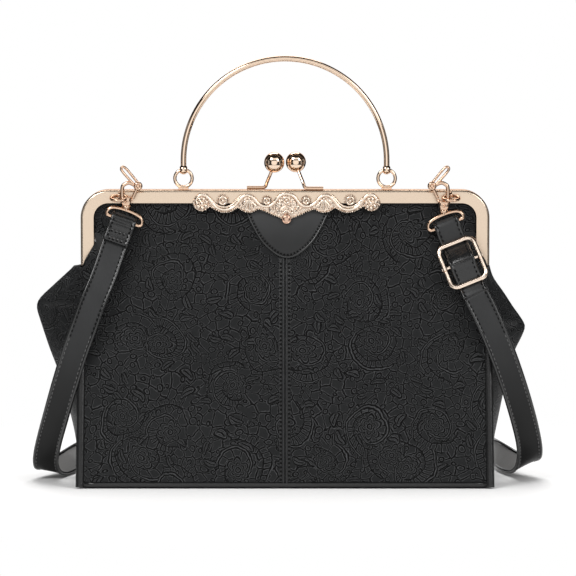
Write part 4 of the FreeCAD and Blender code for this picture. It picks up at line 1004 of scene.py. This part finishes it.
def add_gussets():
    """The folded sides and their linings."""
    for side, tag, origin in ((-1, "left", (95, 220)), (1, "right", (260, 190))):
        for name, node, rows, wall, material, slot in (
                ("gusset_wing", "gusset", (0, 1.2, 131.4), 1.2, floral, "embossed_leather"),
                ("side_lining", "lining", (1.6, 5, 128), 0.5, lining, "lining_cloth")):
            rows = gusset_rows(side, *rows)
            piece = shell(f"{name}_{tag}", rows, wall, material, flip=side < 0, origin=origin)
            fit(piece, f"{node}_{tag}", slot, "bag")
            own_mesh(piece)


def add_base():
    """The base: a leather-covered board, softly rounded at its edges, and its lining."""
    for name, node, wide, deep, low, high, material, slot in (
            ("base_cover", "base_panel", 244.6, 87, 0, 1.66, floral, "embossed_leather"),
            ("base_lining", "lining_base", 240, 84, 3.8, 4.6, lining, "lining_cloth")):
        fresh()
        bpy.ops.mesh.primitive_cube_add(size=1, location=(0, 0, (low + high) / 2 * MM),
                                        scale=(wide * MM, deep * MM, (high - low) * MM))
        base = bpy.context.object
        base.name = name
        bpy.ops.object.transform_apply(location=True, rotation=False, scale=True)
        round_off = base.modifiers.new("rounding", "BEVEL")
        round_off.width = 0.36 * (high - low) * MM
        round_off.segments = 3
        bpy.ops.object.modifier_apply(modifier=round_off.name)
        for loop in base.data.loops:
            spot = base.data.vertices[loop.vertex_index].co
            base.data.uv_layers.active.data[loop.index].uv = spot.xy / MM / LACE_UNIT
        base.data.materials.append(material)
        base.data.shade_smooth()
        fit(base, node, slot, "bag")


def add_piping():
    """A covered cord in the seams, down both sides and along the base, in one run on each face."""
    heights = (114, 108, 96, 72, 48, 28, 14, 6.5, 2, 0.5)
    for way, tag in ((-1, "front"), (1, "back")):
        mesh = bmesh.new()
        lean = Vector((0, way, 0.25))
        for side in (-1, 1):
            edge = [(side * along(EDGE, z), way * (along(WALL, z) - 0.3), z) for z in heights]
            line = smooth_line([Vector(point) for point in edge])
            sweep(mesh, line, lean, lambda i: ring_of(0.7 + 1 * ease(line[i].z, 114, 104), 16,
                                                      1 + 0.5 * ease(line[i].z, 114, 90)))
        floor = [Vector((x, way * 46.2, 2.2)) for x in (-122.4, -96, -60, -20, 20, 60, 96, 122.4)]
        sweep(mesh, smooth_line(floor), lean, ring_of(1.6, 14))
        settle(mesh)
        cord = finished(f"piping_{tag}", mesh, [plain])
        nodes = [f"piping_{tag}_{end}" for end in ("left", "right", "base")]
        bend(cord, "plain_leather", f"{tag}_frame", *nodes)


add_walls()
add_gussets()
add_base()
add_piping()


# Tab behind the ornament

TAB_EDGE = [
    (0, 34), (3.2, 33.5), (6.4, 31.9), (10.7, 28.4), (15.2, 23.6), (18.3, 18.2), (21.2, 12.4),
    (23.6, 6.4), (25.2, 1.2), (25.5, 0),
]

TAB_SECTION = [
    (0, 0), (0, 0.6), (0.12, 0.9), (0.4, 1.14), (0.8, 1.2), (1.2, 1.08), (1.5, 0.74), (1.8, 0.52),
    (2.3, 0.52), (2.7, 0.74), (3.6, 0.9),
]


def add_tab():
    """A leather tongue with a rolled, stitched edge, lying on the front wall."""
    tilt = radians(14.7)
    down = Vector((0, -sin(tilt), -cos(tilt)))
    out = Vector((0, -cos(tilt), sin(tilt)))
    root = Vector((0, -4.95, 169.5))

    def on_tab(x, drop, lift):
        return root + Vector((x, 0, 0)) + down * drop + out * lift

    curve = smooth_line([Vector((-x, drop, 0)) for x, drop in TAB_EDGE[:0:-1]]
                        + [Vector((x, drop, 0)) for x, drop in TAB_EDGE], steps=5)
    steps = [heading(curve, i) for i in range(len(curve))]
    ways = [Vector((step.y, -step.x)).normalized() for step in steps]

    def ring(inset, lift):
        spots = [Vector((spot.x * 1.07 + 1.4, spot.y)) + way * inset for spot, way in zip(curve, ways)]
        return [on_tab(spot.x, max(spot.y, 0), lift) for spot in spots]

    mesh = bmesh.new()
    faces = capped(mesh, [ring(inset, lift) for inset, lift in TAB_SECTION])
    settle(mesh)
    flat = mesh.loops.layers.uv.verify()
    for face in mesh.faces:
        for loop in face.loops:
            loop[flat].uv = loop.vert.co.xz / MM / LACE_UNIT
    inner = ring(2.05, 0.6)
    stitch_row(mesh, inner, [out] * len(inner), 2.1, 0.6, 0.5, 1)
    rim_faces = [face for face in faces if face.is_valid]
    for face in rim_faces[:5 * len(curve)]:
        face.material_index = 2
    tab = finished("tab", mesh, [tab_leather, black_thread, strap_rim])
    fit(tab, "front_tab", "plain_leather", "front_frame", 60)


add_tab()


# Ornament: a cast strip of ribbons, rosettes and beads

PLATE_EDGE = [
    (57.6, 170.6), (57, 167.9), (54.6, 165.6), (51.2, 164.9), (48.6, 166.6), (47, 168.4),
    (44.4, 166.7), (41, 165), (37.1, 164.4), (33, 165.4), (29.6, 167.9), (27.4, 166),
    (25, 164.8), (22.4, 164.5), (19.6, 165.3), (17, 166.8), (14, 165.8), (10.6, 164.2),
    (7, 162.6), (3.4, 161.2), (0, 159.6),
]
PLATE_TOP = [
    (0, 176.5), (2.8, 176.1), (5.8, 174.2), (8, 171), (10.8, 169.2), (14.2, 169.2), (17, 171),
    (19.8, 174.2), (23.2, 175.8), (26.8, 175.2), (29.8, 172.2), (33, 168.4), (37.4, 166.9),
    (42.2, 168.2), (45.2, 171.2), (47.8, 174.8), (51.2, 176.2), (55.2, 175),
]
RIBBON = [
    (55.4, 171.8), (54, 174.6), (51.2, 175.6), (48.2, 174.4), (45.8, 170.6), (42.6, 167.2),
    (37.4, 165.8), (32.4, 167.4), (29.2, 171.6), (26.4, 174.6), (23.2, 175.2), (20.2, 173.6),
    (17.6, 170.2), (14.4, 168.2), (10.4, 168.2), (7.4, 170.4), (5.4, 173.6), (2.8, 175.6), (0, 176),
]
INNER_RIBBON = [
    (47.2, 173.4), (45, 171), (42.2, 168.6), (37.6, 167.5), (33.2, 168.8), (30.6, 172),
    (27.6, 174.9),
]
LEAF = [(0, 168.6), (2.4, 167.6), (4.6, 164.6), (2, 163.8), (0.4, 165.8)]
SHELL_RIBS = [(-27, 167.4), (-25.2, 166), (-22.6, 165.5), (-20.2, 166.2), (-18.4, 167.8)]


def bead(mesh, x, y, z, radius, flat=0.8):
    made = bmesh.ops.create_uvsphere(mesh, u_segments=8, v_segments=5, radius=radius * MM)
    bmesh.ops.scale(mesh, verts=made["verts"], vec=(1, flat, 1))
    bmesh.ops.translate(mesh, verts=made["verts"], vec=Vector((x, y, z)) * MM)


def wire(mesh, points, radius, flat=0.8, closed=False, steps=6):
    """A raised line on the casting."""
    rod(mesh, points, ring_of(radius, 8, 1 / flat), closed, steps)


def strip(points, sign, y=0, rise=0):
    return [Vector((sign * x, y, z + rise)) for x, z in points]


def round_about(x, z, radius, turn):
    return x + radius * cos(turn), z + radius * sin(turn)


def circle_points(x, y, z, radius, count=10):
    return strip([round_about(x, z, radius, turn) for turn in turns(count)], 1, y)


def rosette(mesh, x, z, radius, face):
    """A ringed dome on a small round plate, inside a crown of small beads."""
    rows = [circle_points(x, face + high, z, radius * share, 16)
            for share, high in ((1.1, 1.1), (1.1, 0.3), (0.95, 0.1), (0.2, 0.1))]
    points, faces = net_faces(mesh, rows, closed=True)
    mesh.faces.new(points[-1])
    bmesh.ops.recalc_face_normals(mesh, faces=faces)
    wire(mesh, circle_points(x, face - 0.25, z, radius * 0.86), 0.45, closed=True, steps=4)
    bead(mesh, x, face - 0.2, z, radius * 0.42, 0.9)
    for i in range(11):
        px, pz = round_about(x, z, radius * 1.3, pi * (-0.1 + 1.2 * i / 10))
        bead(mesh, px, face + 0.2, pz, 0.42)


def flower(mesh, x, z, face):
    """The cluster at each end: petals round a knob, with beads between them."""
    for turn in turns(7):
        for reach, offset, rise, size, flat in (
                (2.9, 0.3, 0.25, 1.25, 0.7),
                (4.5, 0.3 + pi / 7, 0.05, 0.68, 0.8),
                (4.6, 0.3, 0.05, 0.55, 0.8)):
            px, pz = round_about(x, z, reach, turn + offset)
            bead(mesh, px, face - rise, pz, size, flat)
    bead(mesh, x, face - 0.5, z, 1.5, 0.8)
    wire(mesh, circle_points(x, face - 0.55, z, 1.7, 8), 0.28, closed=True, steps=3)


def add_plate(mesh, face):
    """The plate under the relief, cut to the scalloped outline and bevelled."""
    foot_y, bevel = -8.35, 0.3
    outline = strip(PLATE_EDGE, -1) + strip(PLATE_EDGE[-2::-1], 1)
    outline += strip(PLATE_TOP[::-1], 1) + strip(PLATE_TOP[1:], -1)
    outline = smooth_line(outline, closed=True, steps=3)
    foot = mesh.faces.new([mesh.verts.new(Vector((p.x, foot_y, p.z)) * MM) for p in outline])
    if foot.normal.y > 0:
        foot.normal_flip()
    raised = bmesh.ops.extrude_face_region(mesh, geom=[foot])
    top = [item for item in raised["geom"] if isinstance(item, bmesh.types.BMFace)][0]
    bmesh.ops.translate(mesh, verts=top.verts, vec=(0, (face - foot_y + bevel) * MM, 0))
    bmesh.ops.inset_region(mesh, faces=[top], thickness=bevel * MM, depth=bevel * MM, use_even_offset=True)
    bmesh.ops.triangulate(mesh, faces=mesh.faces)
    bmesh.ops.recalc_face_normals(mesh, faces=mesh.faces)


def add_relief(mesh, sign, face):
    """One half of the relief: ribbons, a beaded lower edge, flower, rosettes, shell and leaf."""
    wire(mesh, strip(RIBBON, sign, face - 0.15), 0.72)
    wire(mesh, strip(INNER_RIBBON, sign, face - 0.1), 0.5)
    lower = smooth_line(strip(PLATE_EDGE[5:], sign, 0, 0.5), steps=12)
    gone = 1.2
    for a, b in zip(lower, lower[1:]):
        gone += (b - a).length
        if gone >= 1.22:
            bead(mesh, b.x, face + 0.1, b.z - 0.55, 0.62)
            gone = 0
    flower(mesh, sign * 51.6, 170, face)
    rosette(mesh, sign * 38.9, 171.7, 2.7, face)
    rosette(mesh, sign * 12, 171.6, 2.2, face)
    for x, z in SHELL_RIBS:
        start = Vector((sign * -22.8, face - 0.2, 172.6))
        middle = start.lerp(Vector((sign * x, face - 0.5, z)), 0.5)
        wire(mesh, [start, middle, Vector((sign * x, face, z + 0.6))], 0.5)
    bead(mesh, sign * 22.8, face - 0.3, 172.6, 1.05)
    wire(mesh, strip(LEAF, sign, face - 0.15), 0.45)
    bead(mesh, sign * 6.2, face - 0.15, 166.6, 0.9)
    bead(mesh, sign * 8.6, face - 0.1, 166.4, 0.6)


def add_ornament():
    face, shift = -9.45, (0.9 * MM, 0, 0)
    mesh = bmesh.new()
    add_plate(mesh, face)
    for sign in (-1, 1):
        add_relief(mesh, sign, face)
    wire(mesh, circle_points(0, face - 0.3, 172, 1.9), 0.45, closed=True, steps=4)
    bead(mesh, 0, face - 0.3, 172, 1.05, 0.9)
    for i in range(8):
        px, pz = round_about(0, 172, 3.1, 2 * pi * (i + 0.5) / 8)
        bead(mesh, px, face - 0.05, pz, 0.62)
    bead(mesh, 0, face - 0.1, 165.4, 0.95)
    bmesh.ops.translate(mesh, verts=mesh.verts, vec=shift)
    casting = finished("ornament_casting", mesh, [ornament_gold])
    fit(casting, "ornament", "ornament_metal", "front_frame", 50)
    mesh = bmesh.new()
    sweep(mesh, circle_points(0, -10.2, 160.4, 2.45, 24), AFT, ring_of(0.5, 8), closed=True)
    dome = ((2.4, 0), (2.4, -0.8), (1.9, -1.15), (1.2, -1.4), (0.5, -1.5))
    capped(mesh, [circle_points(0, -9.65 + high, 160.4, radius, 20) for radius, high in dome])
    settle(mesh)
    bmesh.ops.translate(mesh, verts=mesh.verts, vec=shift)
    fit(finished("ornament_knob", mesh, [stud_gold]), "ornament_stud", "ornament_metal", "front_frame")


add_ornament()


# Clasp arms: flat bars bent up from the frame's top to the balls

ARM_LINE = [
    (23.4, 1, 178.98), (18, 1, 178.98), (14.6, 1, 178.98), (12, 1, 179.2), (11.2, 0.8, 182),
    (9.8, 0.2, 185.4), (8.2, -0.4, 189.4), (7, -0.7, 193),
]
ARM_CORNER = [(-2, -0.5), (-1.8, -0.8), (-1.4, -0.97)]
ARM_PROFILE = ARM_CORNER + [(-p, n) for p, n in ARM_CORNER[::-1]]
ARM_PROFILE += [(-p, -n) for p, n in ARM_PROFILE]

for side, tag in ((1, "front"), (-1, "back")):
    arm_points = [Vector((side * x, 3.8 * -side * share, z)) for x, share, z in ARM_LINE]
    mesh = bmesh.new()
    rod(mesh, arm_points, ARM_PROFILE, steps=8)
    fitting(f"clasp_bar_{tag}", mesh, fitting_gold, f"clasp_arm_{tag}", f"{tag}_frame", 35)


# Trigger hooks and swivel eyes

BAR_PROFILE = ring_of(1.12, 14, 1.07)
HOOK_LINE = [
    (-2.5, 5.6), (-2.5, 9.5), (-2.5, 13.8), (-2.3, 16.4), (-0.5, 17.7), (1.6, 18.5), (3.4, 17.8),
    (5.4, 16.7), (7, 16.3),
]
BODY_LEVELS = [
    (1.5, -2, 2, 1.7), (2, -2.35, 2.35, 2.1), (4.6, -3.35, 2.9, 2.5), (6.4, -3.9, 3.4, 2.6),
    (6.9, -3.75, 3.25, 2.4), (7.05, -3.2, 2.7, 1.9),
]
COLLAR_LATHE = [(1.3, 0.02), (2.3, 0.02), (2.62, 0.3), (2.7, 0.8), (2.62, 1.4), (2.3, 1.8), (1.9, 2)]
BOSS_LATHE = [
    (0.5, -1.2), (0.85, -1.2), (1, -1.85), (1.5, -2.1), (2.1, -1.95), (2.55, -1.5), (2.7, -0.9),
]
HUB_LATHE = [(0.8, -0.84), (2, -0.84), (2.3, -0.6), (2.3, 0.6), (2, 0.84), (0.8, 0.84)]
NECK_LATHE = [(0.3, -1.2), (1.2, -1.2), (1.2, 3.1), (1.68, 3.2), (1.68, 4.4), (0.4, 4.5)]
PIVOT = (7.2, 16.3)
LEVER_LOOP = [
    (0.6, 1.2), (4.5, 1.35), (9, 1.5), (13, 1.5), (15.1, 0.9), (15.1, -0.9), (13, -1.5),
    (9, -1.5), (4.5, -1.35), (0.6, -1.2),
]


def hook_spot(side, u, z, y=0):
    return Vector((side * (HOOK_X - u), HOOK_Y + y, HOOK_Z + z))


def upright(side, lift):
    """Places round a hook's own axis, from a radius, an angle and a height."""
    return lambda r, a, h: hook_spot(side, r * cos(a), h + lift, r * sin(a))


def on_pivot(side, way=1):
    """Places round the axis of a hook's gate."""
    return lambda r, a, h: hook_spot(side, PIVOT[0] + r * cos(a), PIVOT[1] + r * sin(a), h * way)


def lathe(mesh, outline, place, count=24):
    capped(mesh, [[place(radius, turn, high) for turn in turns(count)] for radius, high in outline])


def add_hook(side, tag, lift):
    """A trigger hook: collar, flared body, bent bar, stop and the bosses that hold its gate."""
    mesh = bmesh.new()
    lathe(mesh, COLLAR_LATHE, upright(side, lift))
    rows = []
    for z, low, high, deep in BODY_LEVELS:
        middle, half = (low + high) / 2, (high - low) / 2
        row = []
        for turn in turns(24):
            c, d = cos(turn), sin(turn)
            row.append(hook_spot(side, middle + half * copysign(abs(c) ** 0.5, c), z + lift,
                                 deep * copysign(abs(d) ** 0.7, d)))
        rows.append(row)
    capped(mesh, rows)
    rod(mesh, [hook_spot(side, u, z) for u, z in HOOK_LINE], BAR_PROFILE, steps=7)
    stop = [hook_spot(side, u, z) for u, z in ((1.6, 5.4 + lift), (3.2, 6.6 + lift * 0.7), (4, 8))]
    rod(mesh, stop, ring_of(0.8, 10), steps=4)
    for way in (1, -1):
        lathe(mesh, BOSS_LATHE, on_pivot(side, way))
    knob_x, knob_z = side * 97, 168.9 + lift
    sweep(mesh, circle_points(knob_x, -15.75, knob_z, 0.95, 12), AFT, ring_of(0.32, 8), closed=True)
    bead(mesh, knob_x, -15.6, knob_z, 0.62)
    fitting(f"trigger_hook_{tag}", mesh, fitting_gold, f"hook_{tag}", f"{tag}_hook")


def add_gate(side, tag):
    """The sprung gate: a bar that closes the hook and a tongue to press it by."""
    mesh = bmesh.new()
    down, up = Vector((-0.407, -0.914)), Vector((-0.651, 0.759))
    pivot = Vector(PIVOT)

    def on_lever(s, w):
        spot = pivot + up * s + Vector((-up.y, up.x)) * w
        return hook_spot(side, spot.x, spot.y)

    bar = [pivot + down * s for s in (0, 3, 6, 8.3)]
    profile = [(p * 0.95, n * 0.85) for p, n in BAR_PROFILE]
    rod(mesh, [hook_spot(side, p.x, p.y) for p in bar], profile, steps=5)
    rod(mesh, [on_lever(s, w) for s, w in LEVER_LOOP], ring_of(1, 12, 0.8), closed=True)
    lathe(mesh, HUB_LATHE, on_pivot(side))
    fitting(f"trigger_gate_{tag}", mesh, fitting_gold, f"gate_{tag}", f"{tag}_gate")


EYE_LINE = [
    (-6.5, 5), (-9.4, 5), (-11, 4.6), (-11.2, 2), (-9.2, -0.3), (-4.6, -1.3), (0, -1.5),
    (4.6, -1.3), (9.2, -0.3), (11.2, 2), (11, 4.6), (9.4, 5), (6.5, 5), (0, 5),
]


def add_eye(way, side, tag):
    """A swivel stud whose arched loop holds the strap."""
    top = way.top
    down = (way.origin - top).normalized()
    mesh = bmesh.new()
    rod(mesh, [top + way.across * p + down * h for p, h in EYE_LINE], ring_of(1.05, 12), closed=True)
    lathe(mesh, NECK_LATHE, upright(side, way.lift), 16)
    fitting(f"swivel_eye_{tag}", mesh, fitting_gold, f"eye_{tag}", "front_frame")


for side, tag, way in ((-1, "left", left_eye), (1, "right", right_eye)):
    add_hook(side, tag, way.lift)
    add_gate(side, tag)
    add_eye(way, side, tag)
